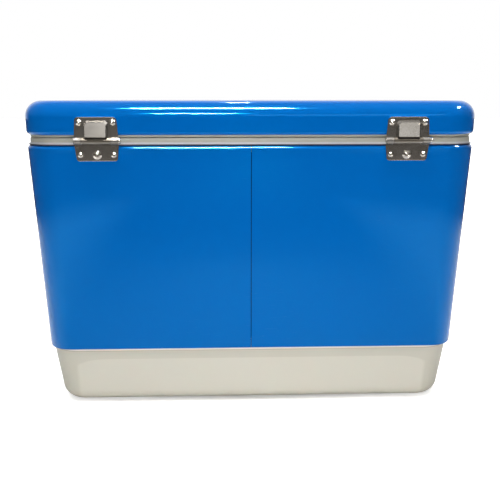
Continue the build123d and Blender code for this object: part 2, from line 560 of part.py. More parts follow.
def body_leaf(plane):
    """Lower leaf: centre knuckle, two rivet holes and a screw hole, leaning with the belt."""
    back = shifted(plane, z=-BELT_FACE + SEAT)
    clear = KNUCKLE + 2 * KNUCKLE_SLACK
    with BuildPart() as made:
        with BuildSketch(back):
            add(leaf_outline(BODY_LEAF_TIP, -BODY_LEAF_HEIGHT, -clear, BODY_LEAF_CORNER))
            with Locations((0, -clear / 2)):
                Rectangle(CENTRE_KNUCKLE, clear)
            with Locations(*LEAF_HOLES_ON_BELT):
                Circle(HOLE, mode=Mode.SUBTRACT)
        extrude(amount=LEAF)
        with Locations(plane.location):
            Cylinder(KNUCKLE, CENTRE_KNUCKLE, rotation=(0, 90, 0))
            Cylinder(PIN_RADIUS + RUNNING, CENTRE_KNUCKLE, rotation=(0, 90, 0), mode=Mode.SUBTRACT)
    return made.part


def hinge_pin(plane):
    """A pin with a domed head at one end."""
    half = LEAF_HALF_WIDTH + PIN_STICKS_OUT
    with BuildPart() as made:
        with Locations(plane.location):
            Cylinder(PIN_RADIUS, 2 * half, rotation=(0, 90, 0))
        with Locations(shifted(plane, x=LEAF_HALF_WIDTH + 2 * HAIR + PIN_HEAD / 2).location):
            Cylinder(KNUCKLE - KNUCKLE_SLACK, PIN_HEAD, rotation=(0, 90, 0))
        fillet(made.faces().sort_by(Axis(plane.origin, plane.x_dir))[-1].edges(), radius=PIN_HEAD_ROUND)
    return made.part


lid_leaves = {name: lid_leaf(plane) for name, plane in LID_HINGE_PLANES.items()}
body_leaves = {name: body_leaf(plane) for name, plane in BODY_HINGE_PLANES.items()}
hinge_pins = {name: hinge_pin(plane) for name, plane in LID_HINGE_PLANES.items()}

LID_LEAF_FRONT = -LID_FACE + SEAT + LEAF
BODY_LEAF_FRONT = -BELT_FACE + SEAT + LEAF

hinge_lid_rivets = group(
    rivet(shifted(plane, x, y, LID_LEAF_FRONT))
    for plane in LID_HINGE_PLANES.values()
    for x, y in LEAF_HOLES_ON_LID
)
hinge_body_rivets = group(
    rivet(shifted(plane, x, BODY_RIVET_Y, BODY_LEAF_FRONT), head=SMALL_RIVET_HEAD)
    for plane in BODY_HINGE_PLANES.values()
    for x in (-LEAF_RIVET_X, LEAF_RIVET_X)
)
hinge_body_screws = group(
    truss_screw(shifted(plane, 0, BODY_RIVET_Y, BODY_LEAF_FRONT)) for plane in BODY_HINGE_PLANES.values()
)
hinge_lid_backing_plates = group(
    backing_plate(
        shifted(plane, y=LID_RIVET_Y, z=-LID_FACE),
        LID_HINGE_PLATE,
        [(-LEAF_RIVET_X, 0), (LEAF_RIVET_X, 0)],
    )
    for plane in LID_HINGE_PLANES.values()
)
hinge_body_backing_plates = group(
    backing_plate(
        shifted(plane, y=BODY_RIVET_Y, z=-BELT_FACE),
        BODY_HINGE_PLATE,
        [(-LEAF_RIVET_X, 0), (0, 0), (LEAF_RIVET_X, 0)],
    )
    for plane in BODY_HINGE_PLANES.values()
)

# ---------------------------------------------------------------- latch
EAR_INSIDE, EAR_OUTSIDE = 17.0, 18.5
STRIKE_OUT = 9.7  # outer face of the strike's tongue, out from the lid's front
CLAW_HALF_WIDTH, CLAW_RADIUS, CLAW_OUT = 9.0, 2.5, 0.7
RELEASE_ANGLE = 14.0  # the lever is drawn pulled this far out, which frees the lid
LEVER_HALF_WIDTH = 16.5
LEVER_KNUCKLE = 4.0
LEVER_SHEET = 1.8
CLAW_Z = 345.0
PIN_PROFILE = side_profile(LATCH_Y, LATCH_Z)
PIN_ALONG = Plane(origin=(0, LATCH_Y, LATCH_Z), x_dir=(0, 1, 0), z_dir=(1, 0, 0))
PLATE_FRONT = 8.4  # how far back the ears reach from the latch pin, into the base plate
PULL_ROOT, PULL_STRAIGHT, PULL_BEND, PULL_TURN = 1.5, 10.0, 22.0, 68.0


def pull_end(radius):
    """The end of the pull tab's arc at this radius."""
    turn = math.radians(180 + PULL_TURN)
    return PULL_ROOT + PULL_BEND + radius * math.cos(turn), -PULL_STRAIGHT + radius * math.sin(turn)


with BuildPart() as latch_base:
    add(plate_with_holes(shifted(LATCH_PLANE, z=SEAT), 58, 42, LEAF, LATCH_RIVETS, radius=6))
    for side in (-1, 1):
        middle = side * (EAR_INSIDE + EAR_OUTSIDE) / 2
        with BuildSketch(PIN_PROFILE.offset(-middle - (EAR_OUTSIDE - EAR_INSIDE) / 2)):
            with Locations((-PLATE_FRONT / 2, 0)):
                Rectangle(PLATE_FRONT, 14)
            Circle(7)
            Circle(PIN_RADIUS + RUNNING, mode=Mode.SUBTRACT)
        extrude(amount=EAR_OUTSIDE - EAR_INSIDE)
latch_base.part.label = "latch_base"

with BuildPart() as latch_pin:
    with Locations(PIN_ALONG.location):
        Cylinder(PIN_RADIUS, 2 * EAR_OUTSIDE + 1)
        with Locations((0, 0, EAR_OUTSIDE + 1), (0, 0, -EAR_OUTSIDE - 1)):
            Cylinder(3.2, 1.6)
    for end in (0, -1):
        fillet(latch_pin.faces().filter_by(Axis.X).group_by(Axis.X)[end].edges(), radius=0.7)
latch_pin.part.label = "latch_pin"

with BuildPart() as lever_at_hold:
    with BuildSketch(PIN_PROFILE.offset(-LEVER_HALF_WIDTH)):
        Circle(LEVER_KNUCKLE)
        with Locations((-1.5, 9.5)):
            RectangleRounded(LEVER_SHEET, 21.0, 0.8)
        with BuildLine():
            Line((PULL_ROOT, 0), (PULL_ROOT, -PULL_STRAIGHT))
            CenterArc((PULL_ROOT + PULL_BEND, -PULL_STRAIGHT), PULL_BEND, 180, PULL_TURN)
            Line(pull_end(PULL_BEND), pull_end(PULL_BEND - LEVER_SHEET))
            CenterArc((PULL_ROOT + PULL_BEND, -PULL_STRAIGHT), PULL_BEND - LEVER_SHEET, 180, PULL_TURN)
            Line((PULL_ROOT + LEVER_SHEET, -PULL_STRAIGHT), (PULL_ROOT + LEVER_SHEET, 0))
            Line((PULL_ROOT + LEVER_SHEET, 0), (PULL_ROOT, 0))
        make_face()
        with Locations(pull_end(PULL_BEND - LEVER_SHEET / 2)):
            Circle(1.7)
    extrude(amount=2 * LEVER_HALF_WIDTH)
    with BuildSketch(PIN_PROFILE.offset(-CLAW_HALF_WIDTH)):
        with Locations((CLAW_OUT, CLAW_Z - LATCH_Z)):
            Circle(CLAW_RADIUS)
        with Locations((CLAW_OUT / 2 - 1, CLAW_Z - LATCH_Z)):
            Rectangle(CLAW_OUT + 2, 2 * CLAW_RADIUS)
    extrude(amount=2 * CLAW_HALF_WIDTH)
    with Locations(PIN_ALONG.location):
        Cylinder(PIN_RADIUS + RUNNING, 60, mode=Mode.SUBTRACT)
        Box(20, 12, 15.6, mode=Mode.SUBTRACT)

with BuildPart() as latch_lever:
    add(lever_at_hold.part.rotate(Axis((0, LATCH_Y, LATCH_Z), (-1, 0, 0)), RELEASE_ANGLE))
latch_lever.part.label = "latch_lever"

SPRING_WIRE, SPRING_MEAN = 0.5, 3.1
SPRING_PITCH, SPRING_TURNS = 1.3, 8
SPRING_LEG = 4.5
with BuildPart() as spring_as_wound:
    with BuildLine() as coil:
        Helix(
            pitch=SPRING_PITCH,
            height=SPRING_PITCH * SPRING_TURNS,
            radius=SPRING_MEAN,
            center=(-SPRING_PITCH * SPRING_TURNS / 2, LATCH_Y, LATCH_Z),
            direction=(1, 0, 0),
        )
    with BuildSketch(Plane(origin=coil.line @ 0, z_dir=coil.line % 0)):
        Circle(SPRING_WIRE)
    sweep(path=coil.line, is_frenet=True)
    for end, way in ((0, -1), (1, 1)):
        with BuildSketch(Plane(origin=coil.line @ end, z_dir=(coil.line % end) * way)):
            Circle(SPRING_WIRE)
        extrude(amount=SPRING_LEG)

with BuildPart() as latch_spring:
    add(spring_as_wound.part.rotate(Axis((0, LATCH_Y, LATCH_Z), (1, 0, 0)), 90))
latch_spring.part.label = "latch_spring"

latch_rivets = group(rivet(shifted(LATCH_PLANE, x, y, SEAT + LEAF)) for x, y in LATCH_RIVETS)
latch_backing_plate = backing_plate(LATCH_PLANE, LATCH_PLATE, LATCH_RIVETS)

STRIKE_HALF_WIDTH = 17.0
STRIKE_TOP_Z, STRIKE_BEND_Z, STRIKE_DROP_Z, STRIKE_FOOT_Z = 388.0, 366.9, 357.3, 337.5
with BuildPart() as strike:
    with BuildSketch(side_profile(LID_FRONT_Y).offset(-STRIKE_HALF_WIDTH)):
        with BuildLine():
            Polyline(
                (SEAT, STRIKE_TOP_Z),
                (SEAT, STRIKE_BEND_Z - 0.5),
                (STRIKE_OUT - LEAF, STRIKE_DROP_Z - 0.5),
                (STRIKE_OUT - LEAF, STRIKE_FOOT_Z),
                (STRIKE_OUT, STRIKE_FOOT_Z),
                (STRIKE_OUT, STRIKE_DROP_Z + 0.5),
                (SEAT + LEAF, STRIKE_BEND_Z + 0.5),
                (SEAT + LEAF, STRIKE_TOP_Z),
                close=True,
            )
        make_face()
    extrude(amount=2 * STRIKE_HALF_WIDTH)
    with Locations((0, LID_FRONT_Y - STRIKE_OUT, CLAW_Z)):
        Box(2 * CLAW_HALF_WIDTH + 2, 8, 2 * CLAW_RADIUS + 1, mode=Mode.SUBTRACT)
    drill(STRIKE_PLANE, STRIKE_RIVETS, depth=4)
    for end in (0, -1):
        fillet(strike.edges().filter_by(Axis.Y).group_by(Axis.Z)[end], radius=5)
strike.part.label = "strike"

strike_rivets = group(rivet(shifted(STRIKE_PLANE, x, y, SEAT + LEAF)) for x, y in STRIKE_RIVETS)
strike_backing_plate = backing_plate(STRIKE_PLANE, STRIKE_PLATE, STRIKE_RIVETS)

# ---------------------------------------------------------------- carrying handles
ROD = 3.0
LOOP = 4.8
LOOP_Y, LOOP_LENGTH = 86.0, 14.0
ARM_Y, ARM_LENGTH = 72.0, 52.0
ARM_BEND = 6.0
GRIP_LENGTH, GRIP_HEIGHT, GRIP_THICK = 114.0, 24.0, 15.0
STOP_Y, STOP_REACH = 4.6, 15.0  # underside of the stop lips, over the arms when the bail is raised


def handle_bracket(plane):
    """A riveted plate with two loops for the ends of the bail."""
    with BuildPart() as made:
        add(plate_with_holes(shifted(plane, z=SEAT), 196, 34, LEAF, HANDLE_RIVETS, radius=8))
        for y in (-LOOP_Y, LOOP_Y):
            foot = shifted(plane, x=y)
            with Locations(shifted(foot, z=HANDLE_OFFSET / 2 + 0.5).location):
                Box(LOOP_LENGTH, 2 * LOOP, HANDLE_OFFSET - 1)
            with Locations(shifted(foot, z=HANDLE_OFFSET).location):
                Cylinder(LOOP, LOOP_LENGTH, rotation=(0, 90, 0))
                Cylinder(ROD + RUNNING, LOOP_LENGTH, rotation=(0, 90, 0), mode=Mode.SUBTRACT)
            lip_x = math.copysign(ARM_Y, y)
            with Locations(shifted(plane, x=lip_x, y=STOP_Y + LEAF / 2, z=SEAT + STOP_REACH / 2).location):
                Box(2 * ROD + 3, LEAF, STOP_REACH)
    return made.part


def bail_frame(plane):
    """The bail's own plane: origin on its axis, local x along it and local y up; the bail hangs down."""
    origin = plane.origin + plane.z_dir * HANDLE_OFFSET
    return Plane(origin=origin, x_dir=plane.x_dir, z_dir=Vector(plane.z_dir.X, plane.z_dir.Y, 0))


def handle_bail(plane):
    """A bent rod: two ends in the bracket's loops, two arms and the run inside the grip."""
    frame = bail_frame(plane)
    end = LOOP_Y + LOOP_LENGTH / 2 + 1.0
    with BuildPart() as made:
        with BuildLine(frame) as path:
            FilletPolyline(
                (-end, 0),
                (-ARM_Y, 0),
                (-ARM_Y, -ARM_LENGTH),
                (ARM_Y, -ARM_LENGTH),
                (ARM_Y, 0),
                (end, 0),
                radius=ARM_BEND,
            )
        with BuildSketch(Plane(origin=path.line @ 0, z_dir=path.line % 0)):
            Circle(ROD)
        sweep(path=path.line)
    return made.part


def handle_grip(plane):
    """A moulded grip round the bail's middle run, with finger hollows along its inner side."""
    frame = bail_frame(plane)
    centre = shifted(frame, y=-ARM_LENGTH)
    end = centre.origin - centre.x_dir * (GRIP_LENGTH / 2)
    start = Plane(origin=end, x_dir=centre.y_dir, z_dir=centre.x_dir)
    with BuildPart() as made:
        with BuildSketch(start):
            RectangleRounded(GRIP_HEIGHT, GRIP_THICK, GRIP_THICK / 2 - 0.7)
        extrude(amount=GRIP_LENGTH)
        fillet(made.faces().filter_by(Axis(centre.origin, centre.x_dir)).edges(), radius=3)
        with Locations(centre.location):
            Cylinder(ROD + RUNNING, GRIP_LENGTH + 20, rotation=(0, 90, 0), mode=Mode.SUBTRACT)
            with Locations(*((x, GRIP_HEIGHT / 2 + 16.6, 0) for x in (-39, -13, 13, 39))):
                Cylinder(19, GRIP_THICK + 2, mode=Mode.SUBTRACT)
    return made.part


handle_brackets = {side: handle_bracket(plane) for side, plane in HANDLE_PLANES.items()}
handle_bails = {side: handle_bail(plane) for side, plane in HANDLE_PLANES.items()}
handle_grips = {side: handle_grip(plane) for side, plane in HANDLE_PLANES.items()}
handle_rivets = group(
    rivet(shifted(plane, x, y, SEAT + LEAF)) for plane in HANDLE_PLANES.values() for x, y in HANDLE_RIVETS
)
handle_backing_plates = group(
    backing_plate(plane, HANDLE_PLATE, HANDLE_RIVETS)
    for plane in HANDLE_PLANES.values()
)

# ---------------------------------------------------------------- drain
DRAIN_PLANE = Plane(origin=(BOSS_X, DRAIN_Y, DRAIN_Z), x_dir=(0, -1, 0), z_dir=(-1, 0, 0))
WASHER = 1.6
FLANGE_RADIUS, FLANGE = 14.5, 3.0
FLANGE_OUT = WASHER + 2 * HAIR  # the flange's inner face, outwards from the boss
COLLAR_OUT = FLANGE_OUT + FLANGE
TIP_OUT = COLLAR_OUT + 12.0
INSIDE_END = -(-FLOOR_LENGTH / 2 + 7.0 - BOSS_X)
THREAD_PITCH, THREAD_WIDTH, THREAD_DEPTH, THREAD_TURNS = 3.0, 1.3, 0.7, 3
NUT_RADIUS, NUT = 12.5, 4.5
CAP_ROUND, CAP_FLUTES, FLUTE_RADIUS = 1.5, 18, 1.0
CAP_RADIUS = 12.5
CAP_FOOT_OUT, CAP_TOP_OUT = COLLAR_OUT + 2.4, TIP_OUT + 3.4
NECK_RADIUS, NECK, BUTTON_RADIUS, BUTTON = 5.5, 1.8, 7.2, 1.4
TETHER_WIDTH = 6.0


def drain_ring(start, end, outer, inner=0.0):
    """A ring about the drain's axis between two distances out from the boss."""
    with BuildPart(mode=Mode.PRIVATE) as made:
        with BuildSketch(DRAIN_PLANE.offset(start)):
            Circle(outer)
            if inner:
                Circle(inner, mode=Mode.SUBTRACT)
        extrude(amount=end - start)
    return made.part


with BuildPart() as drain_spout:
    add(drain_ring(INSIDE_END, TIP_OUT, SPOUT_RADIUS, SPOUT_BORE))
    add(drain_ring(FLANGE_OUT, COLLAR_OUT, FLANGE_RADIUS, SPOUT_BORE))
    for turn in range(THREAD_TURNS):
        groove = TIP_OUT - THREAD_PITCH * (turn + 1)
        thread = drain_ring(groove, groove + THREAD_WIDTH, SPOUT_RADIUS + 1, SPOUT_RADIUS - THREAD_DEPTH)
        add(thread, mode=Mode.SUBTRACT)
drain_spout.part.label = "drain_spout"

with BuildPart() as drain_washer:
    add(drain_ring(SEAT, WASHER + SEAT, FLANGE_RADIUS - 1, SPOUT_RADIUS + 0.1))
drain_washer.part.label = "drain_washer"

NUT_OUT = -(-FLOOR_LENGTH / 2 + 0.6 - BOSS_X)  # its outer face, just inside the liner's end wall
with BuildPart() as drain_nut:
    with BuildSketch(DRAIN_PLANE.offset(NUT_OUT - NUT)):
        RegularPolygon(NUT_RADIUS, 6)
        Circle(SPOUT_RADIUS + 0.1, mode=Mode.SUBTRACT)
    extrude(amount=NUT)
drain_nut.part.label = "drain_nut"

with BuildPart() as drain_cap:
    add(drain_ring(CAP_FOOT_OUT, CAP_TOP_OUT, CAP_RADIUS))
    fillet(drain_cap.faces().sort_by(Axis.X)[0].edges(), radius=CAP_ROUND)
    with Locations(DRAIN_PLANE.offset(CAP_FOOT_OUT).location):
        with PolarLocations(CAP_RADIUS + FLUTE_RADIUS / 2, CAP_FLUTES):
            Cylinder(FLUTE_RADIUS, 2 * BOSS_LENGTH, mode=Mode.SUBTRACT)
    add(drain_ring(CAP_TOP_OUT - 1, CAP_TOP_OUT + NECK, NECK_RADIUS))
    add(drain_ring(CAP_TOP_OUT + NECK, CAP_TOP_OUT + NECK + BUTTON, BUTTON_RADIUS))
    add(drain_ring(CAP_FOOT_OUT - 1, TIP_OUT + 0.8, SPOUT_RADIUS + 0.3), mode=Mode.SUBTRACT)
drain_cap.part.label = "drain_cap"

with BuildPart() as drain_cap_seal:
    add(drain_ring(TIP_OUT + SEAT, TIP_OUT + 0.75, SPOUT_RADIUS))
drain_cap_seal.part.label = "drain_cap_seal"

with BuildPart() as drain_tether:
    add(drain_ring(COLLAR_OUT + 0.2, COLLAR_OUT + 2.0, SPOUT_RADIUS + 3, SPOUT_RADIUS + 0.4))
    add(drain_ring(CAP_TOP_OUT + 0.15, CAP_TOP_OUT + NECK - 0.15, NECK_RADIUS + 3, NECK_RADIUS + RUNNING))
    strap_low, strap_high = CAP_RADIUS + 0.6, CAP_RADIUS + 2.4
    for start, end, low in (
        (COLLAR_OUT + 0.2, COLLAR_OUT + 2.0, SPOUT_RADIUS + 2),
        (COLLAR_OUT + 0.2, CAP_TOP_OUT + NECK - 0.15, strap_low),
        (CAP_TOP_OUT + 0.15, CAP_TOP_OUT + NECK - 0.15, NECK_RADIUS + 2),
    ):
        with Locations(shifted(DRAIN_PLANE, y=(low + strap_high) / 2, z=(start + end) / 2).location):
            Box(TETHER_WIDTH, strap_high - low, end - start)
drain_tether.part.label = "drain_tether"

# ---------------------------------------------------------------- write every node
NODES = {
    built.part.label: built.part
    for built in (
        body_shell,
        seam_backing_strip,
        base_pan,
        inner_liner,
        body_insulation,
        lid_shell,
        lid_liner,
        lid_seal,
        lid_insulation,
        latch_base,
        latch_pin,
        latch_lever,
        latch_spring,
        strike,
        drain_spout,
        drain_washer,
        drain_nut,
        drain_cap,
        drain_cap_seal,
        drain_tether,
    )
}
NODES |= {f"hinge_lid_leaf_{name}": part for name, part in lid_leaves.items()}
NODES |= {f"hinge_body_leaf_{name}": part for name, part in body_leaves.items()}
NODES |= {f"hinge_pin_{name}": part for name, part in hinge_pins.items()}
NODES |= {f"handle_bracket_{side}": part for side, part in handle_brackets.items()}
NODES |= {f"handle_bail_{side}": part for side, part in handle_bails.items()}
NODES |= {f"handle_grip_{side}": part for side, part in handle_grips.items()}
NODES |= {
    "hinge_lid_rivets": hinge_lid_rivets,
    "hinge_body_rivets": hinge_body_rivets,
    "hinge_body_screws": hinge_body_screws,
    "hinge_lid_backing_plates": hinge_lid_backing_plates,
    "hinge_body_backing_plates": hinge_body_backing_plates,
    "latch_rivets": latch_rivets,
    "latch_backing_plate": latch_backing_plate,
    "strike_rivets": strike_rivets,
    "strike_backing_plate": strike_backing_plate,
    "handle_rivets": handle_rivets,
    "handle_backing_plates": handle_backing_plates,
}

os.makedirs("parts", exist_ok=True)
for name, part in NODES.items():
    part.label = name
    export_step(part, f"parts/{name}.step")
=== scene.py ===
"""Looks of the steel-belted cooler chest: skins, mouldings, fittings, finishes, studio and camera.

Lengths are in metres and heights are above the floor. The rear, with the hinges and the seam, faces +y.
"""
import json
import math

import bmesh
import bpy
from mathutils import Matrix, Vector, noise


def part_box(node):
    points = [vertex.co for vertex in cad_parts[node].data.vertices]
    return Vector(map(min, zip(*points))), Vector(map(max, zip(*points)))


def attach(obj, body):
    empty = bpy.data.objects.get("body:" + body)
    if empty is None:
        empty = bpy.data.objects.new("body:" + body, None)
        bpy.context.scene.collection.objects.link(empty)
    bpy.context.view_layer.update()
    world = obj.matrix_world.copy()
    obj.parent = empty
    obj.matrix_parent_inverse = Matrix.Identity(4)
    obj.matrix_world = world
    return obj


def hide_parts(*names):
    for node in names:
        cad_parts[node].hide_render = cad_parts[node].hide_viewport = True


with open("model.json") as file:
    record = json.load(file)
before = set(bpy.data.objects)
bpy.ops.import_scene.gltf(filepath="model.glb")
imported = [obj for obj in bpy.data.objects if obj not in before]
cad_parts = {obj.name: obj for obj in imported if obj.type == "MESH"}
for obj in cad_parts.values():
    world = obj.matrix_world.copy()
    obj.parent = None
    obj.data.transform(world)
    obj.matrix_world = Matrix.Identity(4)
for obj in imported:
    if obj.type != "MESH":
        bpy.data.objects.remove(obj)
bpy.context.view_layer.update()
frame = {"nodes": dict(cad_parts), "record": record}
MM = 0.001


def middle_of(node):
    """The middle of a CAD node's box."""
    low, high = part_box(node)
    return (low + high) / 2


# ---------------------------------------------------------------- places, from the frame
LID_LOW, LID_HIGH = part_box("lid_shell")
LID_SIZE = LID_HIGH - LID_LOW
BELT_LOW, BELT_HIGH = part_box("body_shell")
BELT_SIZE = BELT_HIGH - BELT_LOW  # the belt is widest at its top edge
PAN_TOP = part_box("base_pan")[1].z
PIN_Z = middle_of("hinge_pin_right").z
HINGE_X = abs(middle_of("hinge_body_leaf_right").x)
BODY_LEAF_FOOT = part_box("hinge_body_leaf_right")[0].z
LID_LEAF_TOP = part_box("hinge_lid_leaf_right")[1].z
DRAIN = middle_of("drain_washer")
DRAIN_FACE_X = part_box("drain_washer")[1].x

# ---------------------------------------------------------------- driving dimensions
SHEET = 0.8 * MM
PLAN_RADIUS = 44 * MM

BELT_LEAN = 11 * MM  # each side, from the belt's top edge to its bottom edge
BELT_SLOPE = BELT_LEAN / BELT_SIZE.z
BELT_ROLL = 5.5 * MM  # rounding of the top edge
BELT_FLANGE = 7 * MM
BELT_CURL = 1.6 * MM  # rounding of the bottom edge
BELT_WALL_STEPS = 22
BELT_UNEVEN = 0.22 * MM
UNEVEN_FADE = 25 * MM
SEAM_X = 2 * MM
SEAM_HALF_GAP = 0.4 * MM
SEAM_SHUT_HALF_GAP = 0.05 * MM  # at the seam's two ends, where pale foam would show through
SEAM_SHUT_HEIGHT = 17 * MM

LID_CROWN = 0.25 * MM
LID_TOP_ROUND = 20 * MM
LID_LOW_ROUND = 5 * MM
LID_MOUTH = 9 * MM
LID_SIDE_STEPS = 4

BEAD_TOP = BELT_LOW.z - 0.2 * MM
BEAD_Z = BELT_LOW.z - 2.8 * MM  # underside of the base's bead
BEAD_OUT = 1.5 * MM
BEAD_ROUND = 0.8 * MM
BEAD_GROOVE = ((0.35 * MM, 0.7 * MM), (0.5 * MM, 0.3 * MM), (0.2 * MM, 0.0))  # (depth, below the bead)
PAN_SHORTER, PAN_SHALLOWER = 3 * MM, 7 * MM  # than the belt's bottom edge, before the bead
PAN_LENGTH = BELT_SIZE.x - 2 * BELT_LEAN - PAN_SHORTER
PAN_DEPTH = BELT_SIZE.y - 2 * BELT_LEAN - PAN_SHALLOWER
PAN_RADIUS = 42 * MM
PAN_TAPER = 11.5 * MM  # each side, from the bead to the floor
PAN_LOW_ROUND = 21 * MM
PAN_WALL = 3 * MM
PAN_WALL_LOW = 30 * MM
PAN_WALL_HIGH = BEAD_Z - 1.2 * MM
PAN_WALL_STEPS = 5
PAN_FLOOR = 5 * MM
PAN_CHAMFER, PAN_CHAMFER_RISE = 8 * MM, 1 * MM  # where the inside of the wall meets the floor
UPSTAND_OUT, UPSTAND_LEAN = 0.3 * MM, 0.5 * MM
GROOVE_START, GROOVE_END = 25 * MM, 36 * MM  # round the underside, in from its edge
GROOVE_EDGE, GROOVE_DEPTH = 1 * MM, 1.6 * MM
BOSS_HOLE, BOSS_HOLE_DEPTH = 9 * MM, 6 * MM
BOSS_RADIUS, BOSS_DEPTH, BOSS_DRAFT, BOSS_CLEAR = 17 * MM, 14 * MM, 0.6 * MM, 0.05 * MM

HEAD_DOME = 2.6 * MM
RIVET_HEAD = 4.2 * MM
SMALL_RIVET_HEAD = 3.9 * MM
SHANK = 2.2 * MM
RIVET_TAIL, RIVET_TAIL_HEIGHT = 3.3 * MM, 1.4 * MM
TAIL_ROUND, TAIL_ROUND_HEIGHT = 0.5 * MM, 0.4 * MM
RIVET_ROLL, SCREW_ROLL, ROLL_DEPTH = 0.12 * MM, 0.1 * MM, 0.02 * MM  # the heads' edges, rolled under
SCREW_HEAD, SCREW_REACH, SCREW_TIP = 5.7 * MM, 9 * MM, 2 * MM
SCREW_TURN = 38  # degrees
ARM_HALF_LENGTH, ARM_HALF_WIDTH = 2.7 * MM, 0.62 * MM  # of the cross recess
CROSS_DEPTH, CROSS_EDGE, CROSS_TIP_EDGE = 1.6 * MM, 0.16 * MM, 0.64 * MM
CROSS_SHALLOWER = 0.55  # part of the depth lost at the tip of an arm
BEVEL_STEPS, BEVEL_ANGLE = 3, 30  # degrees

# ---------------------------------------------------------------- fineness and directions in a section
CORNER_STEPS = 18
REAR_STEPS, END_STEPS, FRONT_STEPS = 18, 24, 36
CAP_STEPS, UNDER_STEPS = 14, 6
WELD = 1e-6
UP, OUTWARDS, DOWN = 90, 180, 270  # degrees; 0 is inwards
# Degrees that an arc stays short of one of these directions, where the next stretch isn't square to it.
BELT_EASE, LID_TOP_EASE, PAN_FOOT_EASE = 8, 1, 2
BEAD_LOW_EASE, BEAD_TOP_EASE = 20, 10
PLACE_DECIMALS = 4  # of a metre, when fasteners are put in order
LEAST_RADIUS = 1 * MM


# ---------------------------------------------------------------- mesh helpers
def new_object(name, verts, faces):
    """A smooth mesh object in the shared frame, with its normals turned outwards."""
    mesh = bpy.data.meshes.new(name)
    mesh.from_pydata([tuple(v) for v in verts], [], faces)
    work = bmesh.new()
    work.from_mesh(mesh)
    bmesh.ops.remove_doubles(work, verts=work.verts, dist=WELD)
    bmesh.ops.recalc_face_normals(work, faces=work.faces)
    work.to_mesh(mesh)
    work.free()
    for polygon in mesh.polygons:
        polygon.use_smooth = True
    obj = bpy.data.objects.new(name, mesh)
    bpy.context.scene.collection.objects.link(obj)
    return obj


def straight(a, b, steps):
    """Points from a towards b, without a and b themselves."""
    return [tuple(p + (q - p) * i / steps for p, q in zip(a, b)) for i in range(1, steps)]


def plan_corner(side_x, side_y, start, length, depth, radius):
    """Points (x, y, outward x, outward y) round one corner of the plan, anticlockwise."""
    points = []
    for i in range(CORNER_STEPS + 1):
        angle = math.radians(start + 90 * i / CORNER_STEPS)
        c, s = math.cos(angle), math.sin(angle)
        x = side_x * (length / 2 - radius) + radius * c
        y = side_y * (depth / 2 - radius) + radius * s
        points.append((x, y, c, s))
    return points


def outline(length, depth, radius):
    """Points (x, y, outward x, outward y) anticlockwise round the plan, from the rear seam back to it."""
    sides = ((-1, 1, 90), (-1, -1, 180), (1, -1, 270), (1, 1, 0))
    corners = [plan_corner(*side, length, depth, radius) for side in sides]
    seam = (SEAM_X, depth / 2, 0.0, 1.0)
    points = [seam] + straight(seam, corners[0][0], REAR_STEPS) + corners[0]
    for corner, steps in zip(corners[1:], (END_STEPS, FRONT_STEPS, END_STEPS)):
        points += straight(points[-1], corner[0], steps) + corner
    return points + straight(points[-1], seam, REAR_STEPS) + [seam]


def arc(inset, z, radius, start, end, steps=8):
    """Section points (inset, height) on an arc round (inset, z), between two directions in degrees."""
    angles = [math.radians(start + (end - start) * i / steps) for i in range(steps + 1)]
    return [(inset + radius * math.cos(a), z + radius * math.sin(a)) for a in angles]


def sweep_outline(section, length, depth, radius, wave=None):
    """Rings of points: each section point (inset, z) carried round the outline."""
    rings = []
    for inset, z in section:
        corner = max(radius - inset, LEAST_RADIUS)
        ring = []
        for x, y, nx, ny in outline(length - 2 * inset, depth - 2 * inset, corner):
            push = wave(x, y, z) if wave else 0.0
            ring.append((x + nx * push, y + ny * push, z))
        rings.append(ring)
    return rings


def grid_faces(rows, columns):
    """Quads between neighbouring rings of points."""
    faces = []
    for r in range(rows - 1):
        for c in range(columns - 1):
            a = r * columns + c
            faces.append((a, a + 1, a + columns + 1, a + columns))
    return faces


def skin(name, rings):
    """A swept skin; its rings start and end at the seam, so welding closes them there."""
    verts = [p for ring in rings for p in ring]
    return new_object(name, verts, grid_faces(len(rings), len(rings[0])))


def open_skin(name, rings):
    """A swept skin with a closed section whose two ends at the seam are capped, each on its own."""
    columns = len(rings[0])
    verts = [p for ring in rings + [rings[0]] for p in ring]
    starts = [r * columns for r in range(len(rings))]
    ends = [start + columns - 1 for start in reversed(starts)]
    return new_object(name, verts, grid_faces(len(rings) + 1, columns) + [starts, ends])


def scaled_rings(ring, steps, height):
    """Rings shrinking to the middle of the ring, with height(s) at scale s."""
    rings = []
    for i in range(1, steps + 1):
        s = 1 - i / steps
        rings.append([(x * s, y * s, height(s)) for x, y, _ in ring])
    return rings


def circle(radius, height, steps):
    """Points round a circle at a height, with the first repeated at the end."""
    angles = [2 * math.pi * i / steps for i in range(steps + 1)]
    return [Vector((radius * math.cos(a), radius * math.sin(a), height)) for a in angles]


def lathe(name, profile, place, steps=40):
    """A turned piece: profile points (radius, height) about the place's local Z."""
    verts = [place @ point for radius, height in profile for point in circle(radius, height, steps)]
    return new_object(name, verts, grid_faces(len(profile), steps + 1))


def at(x, y, z, right=(1, 0, 0), out=(0, 0, 1)):
    """A place whose local X points right and local Z points out."""
    z_axis = Vector(out).normalized()
    x_axis = Vector(right).normalized()
    y_axis = z_axis.cross(x_axis)
    rotation = Matrix((x_axis, y_axis, z_axis)).transposed().to_4x4()
    return Matrix.Translation((x, y, z)) @ rotation


def bevel(obj, width):
    """Rounds the object's sharp edges."""
    modifier = obj.modifiers.new("bevel", "BEVEL")
    modifier.width = width
    modifier.segments = BEVEL_STEPS
    modifier.limit_method = "ANGLE"
    modifier.angle_limit = math.radians(BEVEL_ANGLE)


def keep_edges(obj, angle):
    """Marks edges sharper than the angle, so that flat faces stay flat in shading."""
    obj.data.set_sharp_from_angle(angle=math.radians(angle))


